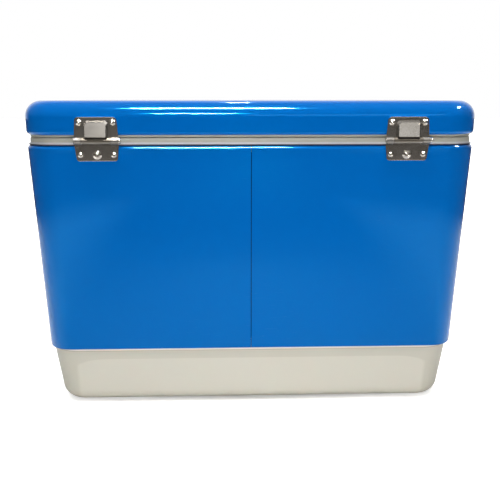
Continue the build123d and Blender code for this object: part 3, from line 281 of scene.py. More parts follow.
def join(name, parts):
    """Joins mesh objects into one named piece."""
    bpy.ops.object.select_all(action="DESELECT")
    for part in parts:
        part.select_set(True)
    bpy.context.view_layer.objects.active = parts[0]
    bpy.ops.object.join()
    parts[0].name = name
    return parts[0]


def finish_piece(obj, body, slot, node):
    """Paints a new piece, sets it on its body and hides the CAD node that it stands for."""
    obj.data.materials.clear()
    obj.data.materials.append(MATERIALS[slot])
    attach(obj, body)
    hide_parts(node)


# ---------------------------------------------------------------- material helpers
def rgba(color):
    """The colour with full opacity."""
    return (*color, 1)


def shade(color, factor):
    """The colour made darker by a factor."""
    return tuple(factor * channel for channel in color)


class Nodes:
    """Short ways to add nodes to a node tree. Values are sockets, numbers or colours."""

    def __init__(self, tree, coords):
        self.tree = tree
        self.coords = self.node("ShaderNodeTexCoord").outputs[coords]

    def node(self, kind, inputs=None, **settings):
        """Adds a node with its settings and the values of its inputs."""
        made = self.tree.nodes.new(kind)
        for name, value in settings.items():
            setattr(made, name, value)
        for name, value in (inputs or {}).items():
            self.feed(value, made.inputs[name])
        return made

    def feed(self, value, socket):
        """Links a socket to another, or sets it to a number or colour."""
        if isinstance(value, bpy.types.NodeSocket):
            self.tree.links.new(value, socket)
        else:
            socket.default_value = value

    def axis(self, name):
        """One coordinate of the point that is shaded."""
        return self.node("ShaderNodeSeparateXYZ", {"Vector": self.coords}).outputs[name]

    def span(self, value, low, high, to_low=0.0, to_high=1.0):
        """The value's stretch low..high mapped to to_low..to_high."""
        inputs = {"Value": value, "From Min": low, "From Max": high, "To Min": to_low, "To Max": to_high}
        return self.node("ShaderNodeMapRange", inputs).outputs["Result"]

    def math(self, operation, a, b=0.0):
        """Blender's named operation on two values."""
        return self.node("ShaderNodeMath", {0: a, 1: b}, operation=operation).outputs[0]

    def both(self, *factors):
        """The product of several factors."""
        product = factors[0]
        for factor in factors[1:]:
            product = self.math("MULTIPLY", product, factor)
        return product

    def distance(self, value, place=0.0):
        """How far a value is from a place."""
        return self.math("ABSOLUTE", self.math("SUBTRACT", value, place))

    def mixed(self, factor, first, second):
        """The first colour where factor is 0, and the second where it is 1."""
        inputs = {"Factor": factor, "A": first, "B": second}
        return self.node("ShaderNodeMix", inputs, data_type="RGBA").outputs["Result"]


class Finish(Nodes):
    """A procedural material: one Principled shader and the nodes that drive it."""

    def __init__(self, name, color, **inputs):
        self.material = bpy.data.materials.new(name)
        self.material.use_nodes = True
        super().__init__(self.material.node_tree, "Object")
        self.shader = self.tree.nodes["Principled BSDF"]
        self.color = rgba(color)
        self.put("Base Color", self.color)
        for key, value in inputs.items():
            self.put(key.replace("_", " "), value)
        self.surface = None

    def put(self, name, value):
        """Sets one of the shader's inputs."""
        self.feed(value, self.shader.inputs[name])

    def noise(self, scale, detail=2.0, roughness=0.5, stretch=(1, 1, 1), distortion=0.0):
        """Noise in the object's coordinates, which may be scaled differently in x, y and z."""
        mapping = self.node("ShaderNodeMapping", {"Vector": self.coords, "Scale": stretch})
        inputs = {"Scale": scale, "Detail": detail, "Roughness": roughness, "Distortion": distortion}
        inputs["Vector"] = mapping.outputs["Vector"]
        return self.node("ShaderNodeTexNoise", inputs).outputs["Fac"]

    def band(self, name, low, high, soft):
        """1 between two places along an axis, fading out over a soft edge."""
        place = self.axis(name)
        rise = self.span(place, low - soft, low)
        fall = self.span(place, high, high + soft, to_low=1.0, to_high=0.0)
        return self.both(rise, fall)

    def tint(self, factor, color):
        """Mixes another colour in where factor is high, over what is there already."""
        self.color = self.mixed(factor, self.color, rgba(color))
        self.put("Base Color", self.color)

    def patches(self, color, scale, detail, low, high, most=1.0):
        """Soft-edged patches of another colour."""
        self.tint(self.span(self.noise(scale, detail), low, high, to_high=most), color)

    def bump(self, value, distance, inputs=("Normal",)):
        """Adds height to the surface, over what was added before."""
        made = self.node("ShaderNodeBump", {"Height": value, "Distance": distance})
        if self.surface:
            self.feed(self.surface, made.inputs["Normal"])
        self.surface = made.outputs["Normal"]
        for name in inputs:
            self.put(name, self.surface)


# ---------------------------------------------------------------- materials
def blue_enamel():
    """Deep gloss enamel on steel: faint orange peel, haze where it has been handled, hair-fine rub marks,
    and painted shade along the rear seam.
    """
    enamel, deep = (0.0, 0.101, 0.39), (0.0, 0.092, 0.36)
    rubbed, seam_shadow_line = (0.1, 0.22, 0.5), (0.002, 0.012, 0.07)
    paint = Finish("blue_enamel", enamel, Coat_Weight=0.15, Coat_Roughness=0.03, Specular_IOR_Level=0.8)
    paint.put("Specular Tint", rgba((0.0, 0.5, 1.0)))
    paint.patches(deep, scale=3.0, detail=3, low=0.35, high=0.7, most=0.5)
    haze = paint.noise(scale=9, detail=4)
    rubs = paint.noise(scale=60, detail=4, roughness=0.6, stretch=(1.0, 1.0, 14.0), distortion=0.4)
    marks = paint.both(paint.span(rubs, low=0.62, high=0.7), paint.span(haze, low=0.48, high=0.68))
    rub_roughness, rub_tint = 0.16, 0.12
    rough = paint.span(haze, low=0.3, high=0.8, to_low=0.045, to_high=0.11)
    paint.put("Roughness", paint.math("ADD", rough, paint.both(marks, rub_roughness)))
    paint.tint(paint.both(marks, rub_tint), rubbed)
    # Painted shade: a dark line along both edges of the rear seam, standing for the shadow in its gap.
    off_seam = paint.distance(paint.axis("X"), SEAM_X)
    on_seam = paint.span(off_seam, low=0.45 * MM, high=0.65 * MM, to_low=1.0, to_high=0.0)
    on_rear = paint.span(paint.axis("Y"), low=0.0, high=1 * MM)
    belt_edge = BELT_HIGH.z
    on_belt = paint.span(paint.axis("Z"), low=belt_edge - 1 * MM, high=belt_edge, to_low=1.0, to_high=0.0)
    paint.tint(paint.both(on_seam, on_rear, on_belt), seam_shadow_line)
    paint.bump(paint.noise(scale=90, detail=1), distance=0.001 * MM, inputs=("Normal", "Coat Normal"))
    return paint


def moulded_plastic(name, color, warm, grain):
    """Moulded plastic: fine grain and slow colour drift."""
    plastic = Finish(name, color, Subsurface_Weight=0.06, Subsurface_Scale=0.004)
    plastic.patches(warm, scale=7, detail=3, low=0.4, high=0.7, most=0.5)
    rough = plastic.noise(scale=25, detail=4)
    plastic.put("Roughness", plastic.span(rough, low=0.3, high=0.7, to_low=0.3, to_high=0.46))
    plastic.bump(plastic.noise(scale=1400, detail=2), distance=0.02 * MM * grain)
    plastic.bump(plastic.noise(scale=30, detail=2), distance=0.15 * MM * grain)
    return plastic


def add_floor_dust(plastic, color):
    """Speckled dust that thins out upwards from the floor."""
    dust_top = 20 * MM
    near_floor = plastic.span(plastic.axis("Z"), low=0.0, high=dust_top, to_low=1.0, to_high=0.0)
    specks = plastic.span(plastic.noise(scale=90, detail=6, roughness=0.7), low=0.45, high=0.75, to_high=0.5)
    plastic.tint(plastic.both(near_floor, specks), color)


def add_painted_light_panel(plastic, color):
    """Painted light: a paler lower panel with rounded upper corners."""
    top, rise, end, end_round = 67 * MM, 12 * MM, 238 * MM, 45 * MM
    along = plastic.span(plastic.distance(plastic.axis("X")), low=end - end_round, high=end)
    up = plastic.span(plastic.axis("Z"), low=top - rise, high=top)
    edge = plastic.math("ADD", plastic.both(along, along), plastic.both(up, up))
    plastic.tint(plastic.span(edge, low=0.8, high=1.0, to_low=0.85, to_high=0.0), color)


def base_plastic():
    """The base's plastic: dusty foot, a paler lower panel of painted light, a painted shadow line under the
    bead and a painted highlight on the bead.
    """
    cream, warm, panel = (0.5, 0.482, 0.415), (0.48, 0.455, 0.385), (0.57, 0.55, 0.48)
    painted_shadow, bead = (0.3, 0.28, 0.23), (0.66, 0.66, 0.65)
    plastic = moulded_plastic("base_plastic", cream, warm, grain=1.0)
    add_floor_dust(plastic, shade(cream, 0.72))
    # Painted light: a paler lower panel on the base.
    add_painted_light_panel(plastic, panel)
    height = plastic.axis("Z")
    # Painted shadow: a dark line under the bead.
    plastic.tint(plastic.span(height, low=BEAD_Z - 1.7 * MM, high=BEAD_Z - 1.3 * MM, to_high=0.8), painted_shadow)
    # Painted highlight: the bead is painted paler than the wall.
    plastic.tint(plastic.span(height, low=BEAD_Z, high=BEAD_Z + 0.3 * MM), bead)
    return plastic


def liner_plastic():
    """The liner's plastic: its rim is darkened with painted shade from the lid, with a painted highlight
    along its foot and a painted shadow line where it meets the belt.
    """
    white, warm, lid_shadow = (0.6, 0.6, 0.56), (0.58, 0.57, 0.51), (0.335, 0.335, 0.283)
    pale, dark = (0.49, 0.495, 0.51), (0.02, 0.03, 0.06)
    plastic = moulded_plastic("liner_plastic", white, warm, grain=0.4)
    edge = BELT_HIGH.z
    # Painted shade: the rim above the belt is darkened, standing for the lid's shadow on it.
    plastic.tint(plastic.span(plastic.axis("Z"), low=edge - 10 * MM, high=edge - 6 * MM), lid_shadow)
    outside = [
        plastic.span(plastic.distance(plastic.axis(name)), low=half - 21 * MM, high=half - 19 * MM)
        for name, half in (("X", BELT_HIGH.x), ("Y", BELT_HIGH.y))
    ]
    rim = plastic.math("MAXIMUM", *outside)
    foot = plastic.band("Z", low=edge + 1.2 * MM, high=edge + 3.4 * MM, soft=0.7 * MM)
    line = plastic.band("Z", low=edge - 3 * MM, high=edge + 1.3 * MM, soft=0.3 * MM)
    # Painted highlight: a pale band along the rim's foot, above the belt.
    plastic.tint(plastic.both(rim, foot), pale)
    # Painted shadow: a dark band where the rim meets the belt's roll.
    plastic.tint(plastic.both(rim, line), dark)
    return plastic


def add_hinge_shade_and_highlights(steel):
    """Painted shade in the hinges' knuckles and under their hoods, and painted highlights along the edges of
    their leaves.
    """
    painted_shadow, hood_shadow, edge_highlight = (0.2, 0.175, 0.14), (0.012, 0.01, 0.008), (0.95, 0.92, 0.86)
    knuckle_half, hood_half, leaf_half, edge = 17.6 * MM, 13.4 * MM, 30 * MM, 0.8 * MM
    off_hinge = steel.distance(steel.distance(steel.axis("X")), HINGE_X)

    def add(color, half, fade, low, high, soft):
        within = steel.span(off_hinge, low=half, high=half + fade, to_low=1.0, to_high=0.0)
        steel.tint(steel.both(within, steel.band("Z", low, high, soft)), color)

    # Painted shade on the knuckles, under the hoods.
    add(painted_shadow, knuckle_half, fade=0.2 * MM, low=PIN_Z - 1.5 * MM, high=PIN_Z + 4.3 * MM, soft=0.4 * MM)
    # Painted shadow: a near-black band under each hood.
    add(hood_shadow, hood_half, fade=0.6 * MM, low=PIN_Z + 1.8 * MM, high=PIN_Z + 4.2 * MM, soft=0.4 * MM)
    # Painted highlight: bright bands along the leaves' bottom and top edges.
    for low in (BODY_LEAF_FOOT, LID_LEAF_TOP - edge):
        add(edge_highlight, leaf_half, fade=1 * MM, low=low, high=low + edge, soft=0.3 * MM)


def stainless():
    """Rolled stainless sheet, brushed along x, with smudges and the hinges' painted shade and highlights."""
    steel = Finish("stainless_sheet", (0.3, 0.283, 0.257), Metallic=0.92)
    brushed = steel.noise(scale=1.0, detail=3, roughness=0.6, stretch=(60, 3000, 3000))
    smudges = steel.noise(scale=70, detail=2)
    grain = steel.span(brushed, low=0.3, high=0.7, to_high=0.06)
    rough = steel.span(smudges, low=0.2, high=0.8, to_low=0.18, to_high=0.22)
    steel.put("Roughness", steel.math("ADD", rough, grain))
    steel.tint(steel.span(smudges, low=0.45, high=0.7, to_high=0.6), (0.265, 0.245, 0.215))
    add_hinge_shade_and_highlights(steel)
    steel.bump(brushed, distance=0.002 * MM)
    return steel


def polished_steel():
    """Bright rivets, screws, pins and rods, with a breath of tarnish."""
    bright, tarnished = (0.66, 0.62, 0.56), (0.46, 0.4, 0.31)
    steel = Finish("polished_steel", bright, Metallic=1.0)
    tarnish = steel.noise(scale=260, detail=4)
    steel.put("Roughness", steel.span(tarnish, low=0.35, high=0.7, to_low=0.07, to_high=0.22))
    steel.tint(steel.span(tarnish, low=0.5, high=0.75, to_high=0.5), tarnished)
    return steel


def zinc_plate(name, color):
    """Dull zinc-plated steel with crystal patches."""
    zinc = Finish(name, color, Metallic=1.0)
    crystals = zinc.noise(scale=180)
    zinc.put("Roughness", zinc.span(crystals, low=0.3, high=0.7, to_low=0.34, to_high=0.5))
    zinc.tint(zinc.span(crystals, low=0.4, high=0.7), shade(color, 0.85))
    return zinc


def soft_rubber(name, color):
    """Matte rubber with a powdery bloom."""
    rubber = Finish(name, color, Roughness=0.65, Specular_IOR_Level=0.35)
    rubber.patches(shade(color, 0.8), scale=150, detail=4, low=0.4, high=0.7, most=0.4)
    rubber.bump(rubber.noise(scale=900, detail=3), distance=0.03 * MM)
    return rubber


def foam_fill():
    """Rigid insulation foam with its closed-cell skin."""
    fresh, browned = (0.78, 0.68, 0.42), (0.7, 0.58, 0.33)
    foam = Finish("insulation_foam", fresh, Roughness=0.85, Subsurface_Weight=0.1, Subsurface_Scale=0.003)
    foam.patches(browned, scale=40, detail=4, low=0.4, high=0.7)
    foam.bump(foam.noise(scale=700, detail=4, roughness=0.7), distance=0.2 * MM)
    return foam


def grip_plastic():
    """Dark matte grip, finely spark-eroded texture, shinier where hands have polished it."""
    grip = Finish("grip_plastic", (0.018, 0.018, 0.02))
    handled = grip.noise(scale=45, detail=3)
    grip.put("Roughness", grip.span(handled, low=0.35, high=0.7, to_low=0.38, to_high=0.6))
    grip.bump(grip.noise(scale=1600, detail=3), distance=0.04 * MM)
    return grip


# By the record's slot names, and one more for the strip behind the belt's seam, which is near-black as
# painted shade in the seam's gap.
FINISHES = {
    "blue_paint": blue_enamel(),
    "cream_plastic": base_plastic(),
    "white_plastic": liner_plastic(),
    "foam": foam_fill(),
    "stainless": stainless(),
    "bright_steel": polished_steel(),
    # Painted shade: the zinc strip behind the seam is near-black, standing for the shadow in the seam's gap.
    "seam_steel": zinc_plate("seam_steel", (0.02, 0.04, 0.09)),
    "zinc_steel": zinc_plate("zinc_plate", (0.55, 0.56, 0.57)),
    "seal_rubber": soft_rubber("seal_rubber", (0.6, 0.59, 0.56)),
    "grey_rubber": soft_rubber("grey_rubber", (0.05, 0.05, 0.052)),
    "grip_plastic": grip_plastic(),
}
MATERIALS = {slot: finish.material for slot, finish in FINISHES.items()}


def paint_cad_nodes():
    """Gives every CAD node its finish and smooth shading over its curved faces."""
    for entry in frame["record"]["subparts"]:
        node = frame["nodes"][entry["node"]]
        # The strip behind the seam gets the near-black painted-shade finish.
        slot = "seam_steel" if entry["node"] == "seam_backing_strip" else entry["material_slot"]
        node.data.materials.clear()
        node.data.materials.append(MATERIALS[slot])
        for polygon in node.data.polygons:
            polygon.use_smooth = True
            polygon.material_index = 0
        keep_edges(node, angle=30)


# ---------------------------------------------------------------- belt, lid and base
def belt_inset(z):
    """How far the leaning belt stands inside its top edge at a height."""
    return BELT_SLOPE * (BELT_HIGH.z - z)


def belt_wave(x, y, z):
    """Slight hand-made unevenness of the sheet, fading out at its edges."""
    edge = min(z - BELT_LOW.z, BELT_HIGH.z - z) / UNEVEN_FADE
    waves_a_metre = Vector((9, 9, 7))
    return BELT_UNEVEN * max(0.0, min(1.0, edge)) * noise.noise(Vector((x, y, z)) * waves_a_metre)


def belt_section():
    """The sheet's section: from its curled foot up the outside, over the rolled top and down the inside."""
    bottom, top = BELT_LOW.z, BELT_HIGH.z
    rise = (top - BELT_ROLL - bottom) / BELT_WALL_STEPS
    walls = [bottom + rise * i for i in range(BELT_WALL_STEPS + 1)]
    curl_inset = belt_inset(bottom) + BELT_CURL
    outer = arc(curl_inset, bottom + BELT_CURL, BELT_CURL, DOWN - BELT_EASE, OUTWARDS + BELT_EASE, steps=5)
    outer += [(belt_inset(z), z) for z in walls[1:]]
    outer += arc(BELT_ROLL, top - BELT_ROLL, BELT_ROLL, OUTWARDS - BELT_EASE, UP)
    lip = [(BELT_FLANGE, top), (BELT_FLANGE + SHEET / 2, top - SHEET / 2), (BELT_FLANGE, top - SHEET)]
    inner = arc(BELT_ROLL, top - BELT_ROLL, BELT_ROLL - SHEET, UP, OUTWARDS - BELT_EASE)
    inner += [(belt_inset(z) + SHEET, z) for z in reversed(walls)]
    return outer + lip + inner


def part_seam(rings):
    """Moves the sheet's two ends apart at the rear seam."""
    for ring in rings:
        (x0, y0, z0), (x1, y1, z1) = ring[0], ring[-1]
        parted = BELT_LOW.z + SEAM_SHUT_HEIGHT < z0 < BELT_HIGH.z - BELT_ROLL
        half_gap = SEAM_HALF_GAP if parted else SEAM_SHUT_HALF_GAP
        ring[0] = (x0 - half_gap, y0, z0)
        ring[-1] = (x1 + half_gap, y1, z1)


def make_belt():
    """The painted belt: one wrapped sheet with a rolled top edge, its two ends meeting at the rear seam."""
    rings = sweep_outline(belt_section(), BELT_SIZE.x, BELT_SIZE.y, PLAN_RADIUS, belt_wave)
    part_seam(rings)
    belt = open_skin("belt_skin", rings)
    keep_edges(belt, angle=50)
    finish_piece(belt, "chest", "blue_paint", "body_shell")


def lid_outer_section():
    """The lid's outside: hemmed mouth, tight lower edge, straight side and generous top rounding."""
    bottom, top = LID_LOW.z, LID_HIGH.z - LID_CROWN
    side_rise = (top - LID_TOP_ROUND - bottom - LID_LOW_ROUND) / LID_SIDE_STEPS
    side = [(0.0, bottom + LID_LOW_ROUND + side_rise * i) for i in range(1, LID_SIDE_STEPS)]
    section = [(LID_MOUTH, bottom + SHEET), (LID_MOUTH + SHEET / 2, bottom + SHEET / 2), (LID_MOUTH, bottom)]
    section += arc(LID_LOW_ROUND, bottom + LID_LOW_ROUND, LID_LOW_ROUND, DOWN, OUTWARDS, steps=10)
    section += side
    top_end = UP + LID_TOP_EASE
    return section + arc(LID_TOP_ROUND, top - LID_TOP_ROUND, LID_TOP_ROUND, OUTWARDS, top_end, steps=16)


def lid_inner_section():
    """The lid's inside, one sheet in from the outside, from the top down to the hem."""
    bottom, top = LID_LOW.z, LID_HIGH.z - LID_CROWN
    top_start = UP + LID_TOP_EASE
    section = arc(LID_TOP_ROUND, top - LID_TOP_ROUND, LID_TOP_ROUND - SHEET, top_start, OUTWARDS, steps=10)
    section += arc(LID_LOW_ROUND, bottom + LID_LOW_ROUND, LID_LOW_ROUND - SHEET, OUTWARDS, DOWN, steps=6)
    return section + [(LID_MOUTH, bottom + SHEET)]


def make_lid():
    """The lid's skin, with a slight crown on top."""
    def crown(s):
        return LID_HIGH.z - LID_CROWN * s * s

    outer = sweep_outline(lid_outer_section(), LID_SIZE.x, LID_SIZE.y, PLAN_RADIUS)
    inner = sweep_outline(lid_inner_section(), LID_SIZE.x, LID_SIZE.y, PLAN_RADIUS)
    top = scaled_rings(outer[-1], CAP_STEPS, crown)
    ceiling = scaled_rings(inner[0], UNDER_STEPS, lambda s: crown(s) - SHEET)
    lid = skin("lid_skin", outer + top + ceiling[::-1] + inner)
    keep_edges(lid, angle=50)
    finish_piece(lid, "lid", "blue_paint", "lid_shell")


def pan_inset(z):
    """How far the base's tapered wall stands inside its place under the bead at a height."""
    return PAN_TAPER * (1 - z / BEAD_Z)


def pan_foot():
    """The base's underside and round lower edge, from the groove outwards."""
    slope = math.atan(PAN_TAPER / BEAD_Z)
    proud = 0.1 * MM  # the rounding stands a hair outside the wall
    centre = pan_inset(PAN_LOW_ROUND) + PAN_LOW_ROUND / math.cos(slope) - proud
    groove = [
        (GROOVE_END, 0.0),
        (GROOVE_END - GROOVE_EDGE, GROOVE_DEPTH),
        (GROOVE_START + GROOVE_EDGE, GROOVE_DEPTH),
        (GROOVE_START, 0.0),
    ]
    start, end = DOWN - PAN_FOOT_EASE, OUTWARDS + math.degrees(slope)
    rounding = arc(centre, PAN_LOW_ROUND, PAN_LOW_ROUND, start, end, steps=14)
    return [(PAN_TAPER + inset, z) for inset, z in groove] + rounding


def pan_wall():
    """The base's tapered wall, and the fine groove under its bead."""
    rise = (PAN_WALL_HIGH - PAN_WALL_LOW) / PAN_WALL_STEPS
    heights = [PAN_WALL_LOW + rise * i for i in range(PAN_WALL_STEPS + 1)]
    return [(pan_inset(z), z) for z in heights] + [(depth, BEAD_Z - below) for depth, below in BEAD_GROOVE]


def pan_bead():
    """The bead under the belt, and the upstand inside the belt."""
    middle = BEAD_ROUND - BEAD_OUT
    section = arc(middle, BEAD_Z + BEAD_ROUND, BEAD_ROUND, DOWN - BEAD_LOW_EASE, OUTWARDS, steps=4)
    section += arc(middle, BEAD_TOP - BEAD_ROUND, BEAD_ROUND, OUTWARDS, UP + BEAD_TOP_EASE, steps=4)
    upstand = [(0.0, BEAD_TOP), (-UPSTAND_LEAN, PAN_TOP), (PAN_WALL, PAN_TOP)]
    return section + [(inset - UPSTAND_OUT, z) for inset, z in upstand]


def pan_inside():
    """The base's inside, from the upstand down to the floor."""
    return [
        (PAN_WALL, BEAD_TOP),
        (PAN_WALL + pan_inset(PAN_WALL_LOW), PAN_WALL_LOW),
        (PAN_WALL + PAN_TAPER + PAN_CHAMFER, PAN_FLOOR + PAN_CHAMFER_RISE),
    ]


def drain_boss():
    """The round boss round the drain's hole, which the drain's washer seats on."""
    rim_round = ((0.8 * MM, 0.0), (0.1 * MM, 0.4 * MM), (0.0, 1 * MM))  # (in from the rim, below the face)
    profile = [(BOSS_HOLE, -BOSS_HOLE_DEPTH), (BOSS_HOLE, 0.0)]
    profile += [(BOSS_RADIUS - inset, -below) for inset, below in rim_round]
    profile += [(BOSS_RADIUS + BOSS_DRAFT, -BOSS_DEPTH)]
    place = at(DRAIN_FACE_X + BOSS_CLEAR, DRAIN.y, DRAIN.z, right=(0, -1, 0), out=(-1, 0, 0))
    boss = lathe("drain_boss", profile, place)
    keep_edges(boss, angle=40)
    return boss


def make_pan():
    """The moulded base: grooved foot, round lower edge, tapered wall, bead under the belt and drain boss."""
    section = pan_foot() + pan_wall() + pan_bead() + pan_inside()
    rings = sweep_outline(section, PAN_LENGTH, PAN_DEPTH, PAN_RADIUS)
    under = scaled_rings(rings[0], UNDER_STEPS, lambda s: 0.0)
    floor = scaled_rings(rings[-1], UNDER_STEPS, lambda s: PAN_FLOOR)
    pan = skin("base_moulding", under[::-1] + rings + floor)
    keep_edges(pan, angle=42)
    finish_piece(join("base_moulding", [pan, drain_boss()]), "chest", "cream_plastic", "base_pan")


# ---------------------------------------------------------------- fasteners
# A facing is (right, out): the directions along and away from the wall that a fastener sits in.
REAR_OF_LID = ((-1, 0, 0), (0, 1, 0))
REAR_OF_BELT = ((-1, 0, 0), (0, 1, -BELT_SLOPE))
FRONT_OF_LID = ((1, 0, 0), (0, -1, 0))
FRONT_OF_BELT = ((1, 0, 0), (0, -1, -BELT_SLOPE))


def end_of_belt(points):
    """The facing of the end wall that a fastener sits in."""
    side = math.copysign(1, points[0].x)
    return (0, side, 0), (side, 0, -BELT_SLOPE)


def grow_island(start, left):
    """All vertices joined to a start by edges; takes them out of the ones that are left."""
    found, edge = [start], [start]
    while edge:
        for link in edge.pop().link_edges:
            for vert in left.intersection(link.verts):
                left.discard(vert)
                found.append(vert)
                edge.append(vert)
    return found


def place_order(points):
    """A solid's lowest x, z and y, which puts solids in the same order every time."""
    return [round(min(getattr(p, axis) for p in points), PLACE_DECIMALS) for axis in "xzy"]


def islands(node):
    """The loose solids of a CAD node, each a list of points, in the order of their places."""
    work = bmesh.new()
    work.from_mesh(frame["nodes"][node].data)
    bmesh.ops.remove_doubles(work, verts=work.verts, dist=WELD)
    left, groups = set(work.verts), []
    while left:
        groups.append([vert.co.copy() for vert in grow_island(left.pop(), left)])
    work.free()
    return sorted(groups, key=place_order)


def head_place(points, right, out):
    """The place of a fastener's head, with the foot of its dome at local zero, and the fastener's length."""
    out = Vector(out).normalized()
    right = Vector(right).normalized()
    middle = Vector()
    for direction in (right, out.cross(right)):
        spread = [p.dot(direction) for p in points]
        middle += direction * (max(spread) + min(spread)) / 2
    heights = [p.dot(out) for p in points]
    top = max(heights)
    return at(*(middle + out * (top - HEAD_DOME)), right=right, out=out), top - min(heights)


def ball_radius(head):
    """The radius of the ball that a domed head is cut from."""
    return (head * head + HEAD_DOME * HEAD_DOME) / (2 * HEAD_DOME)


def dome_profile(head, steps=10):
    """Points (radius, height) from the crown of a domed head down to its edge, slightly rolled under."""
    ball = ball_radius(head)
    angles = [math.asin(head / ball) * i / steps for i in range(steps + 1)]
    curve = [(ball * math.sin(a), HEAD_DOME - ball * (1 - math.cos(a))) for a in angles]
    return curve + [(head - RIVET_ROLL, -ROLL_DEPTH)]


def rivet_profile(head, length):
    """A set rivet: domed head, shank and the upset tail on the far side."""
    foot = HEAD_DOME - length
    tail_top = foot + RIVET_TAIL_HEIGHT
    shank = [(SHANK, 0.0), (SHANK, tail_top), (RIVET_TAIL, tail_top)]
    tail = [(RIVET_TAIL, foot + TAIL_ROUND_HEIGHT), (RIVET_TAIL - TAIL_ROUND, foot), (0.0, foot)]
    return dome_profile(head) + shank + tail


def make_rivets(name, node, body, facing, head=RIVET_HEAD):
    """Turned rivets in place of every solid of a CAD rivet node."""
    parts = []
    for points in islands(node):
        right, out = facing(points) if callable(facing) else facing
        place, length = head_place(points, right, out)
        parts.append(lathe(name, rivet_profile(head, length), place))
    rivets = join(name, parts)
    keep_edges(rivets, angle=50)
    finish_piece(rivets, body, "bright_steel", node)


def screw_height(x, y):
    """The height of a screw's domed head at a point, sunk in the cross recess."""
    ball = ball_radius(SCREW_HEAD)
    dome = HEAD_DOME - ball + math.sqrt(max(ball * ball - x * x - y * y, 0.0))
    across, along = sorted((abs(x), abs(y)))
    from_side = (ARM_HALF_WIDTH - across) / CROSS_EDGE
    from_tip = (ARM_HALF_LENGTH - along) / CROSS_TIP_EDGE
    sunk = max(0.0, min(from_side, from_tip, 1.0))
    return dome - CROSS_DEPTH * sunk * (1 - CROSS_SHALLOWER * along / ARM_HALF_LENGTH)


def screw(place, rings=30, spokes=96):
    """A truss-head screw with a pressed cross recess, drawn as a fine polar grid."""
    points = []
    for r in range(rings + 1):
        flat = circle(SCREW_HEAD * r / rings, 0.0, spokes)
        points += [Vector((x, y, screw_height(x, y))) for x, y, _ in flat]
    shank = [(SHANK, 0.0), (SHANK, SCREW_TIP - SCREW_REACH), (0.0, -SCREW_REACH)]
    profile = [(SCREW_HEAD - SCREW_ROLL, -ROLL_DEPTH)] + shank
    for radius, height in profile:
        points += circle(radius, height, spokes)
    verts = [place @ point for point in points]
    return new_object("screw", verts, grid_faces(rings + 1 + len(profile), spokes + 1))


def make_screws():
    """The screw in the middle of each lower hinge leaf."""
    turn = Matrix.Rotation(math.radians(SCREW_TURN), 4, "Z")
    places = [head_place(points, *REAR_OF_BELT)[0] @ turn for points in islands("hinge_body_screws")]
    screws = join("hinge_screws", [screw(place) for place in places])
    keep_edges(screws, angle=40)
    finish_piece(screws, "chest", "bright_steel", "hinge_body_screws")


SOFTENED = {
    0.35 * MM: (
        "hinge_lid_leaf_left",
        "hinge_lid_leaf_right",
        "hinge_body_leaf_left",
        "hinge_body_leaf_right",
        "latch_base",
        "strike",
        "handle_bracket_left",
        "handle_bracket_right",
    ),
    0.25 * MM: ("latch_lever", "hinge_pin_left", "hinge_pin_right", "latch_pin", "drain_spout", "drain_nut"),
    0.2 * MM: ("drain_washer", "drain_cap", "drain_tether", "latch_backing_plate", "strike_backing_plate"),
}


def soften_cad_nodes():
    """Small bevels on the metal and plastic fittings that are shown as they are."""
    for width, nodes in SOFTENED.items():
        for node in nodes:
            bevel(frame["nodes"][node], width)


# ---------------------------------------------------------------- studio
# Soft lights aren't mirrored in anything; mirrored lights only draw lines and glints on glossy surfaces.
# Each is: name, place, the point that it is aimed at, size, power.
SOFT_LIGHTS = (
    ("key_softbox", (0.15, 0.55, 3.2), (0, 0.1, 0.2), (2.0, 1.0), 122),
    ("low_softbox", (-0.01, 0.82, 0.25), (-0.01, 0.2, 0.2), (0.2, 0.2), 2.1),
    ("front_fill", (-0.6, -3.2, 2.4), (0, 0, 0.2), (2.4, 1.8), 44),
)
MIRRORED_LIGHTS = (
    ("strip_low", (0.17, 1.9, 1.22), (0.17, 0.2, 0.39), (0.34, 0.1), 28),
    ("strip_high", (0.1, 1.05, 2.2), (0.1, 0.2, 0.39), (0.68, 0.16), 190),
    ("strip_far", (-0.02, -1.2, 2.6), (0.0, 0.2, 0.39), (0.1, 0.06), 8),
    ("corner_glint", (-1.54, 0.22, 1.9), (-0.27, 0.17, 0.39), (0.5, 0.16), 90),
    ("hood_card", (-0.5, 2.2, 0.92), (-0.2, 0.2, 0.36), (0.9, 0.22), 1.6),
)

ROOM = (  # (how steeply up a direction points, colour)
    (0.03, (0.05, 0.045, 0.04)),
    (0.3, (0.62, 0.61, 0.59)),
    (0.95, (1.05, 1.05, 1.07)),
)
ROOM_ON_DULL, ROOM_ON_GLOSS = 0.55, 0.32  # the room's strength on dull and on glossy surfaces
SCREEN = (2.8, 2.8, 2.8)
SCREEN_START, SCREEN_FULL = -0.35, -0.75  # the screen fades in between these y directions
WHITE = (1, 1, 1, 1)

FLOOR_HALF = 12.0  # metres
CAMERA_PLACE = (29.9 * MM, 1004 * MM, 407.6 * MM)
CAMERA_PITCH, CAMERA_YAW = math.radians(13.149), math.radians(1.854)  # down, and towards the chest's middle
CAMERA_LENS = 46.8


def aim(obj, direction):
    """Turns a light or camera to look in a direction, and puts it in the scene."""
    obj.rotation_euler = Vector(direction).to_track_quat("-Z", "Y").to_euler()
    bpy.context.scene.collection.objects.link(obj)


def area_light(name, place, target, size, power, mirrored):
    """A rectangular light aimed at a point."""
    light = bpy.data.lights.new(name, "AREA")
    light.shape = "RECTANGLE"
    light.size, light.size_y = size
    light.energy = power
    obj = bpy.data.objects.new(name, light)
    obj.visible_glossy = mirrored
    obj.visible_diffuse = not mirrored
    obj.location = place
    aim(obj, Vector(target) - Vector(place))


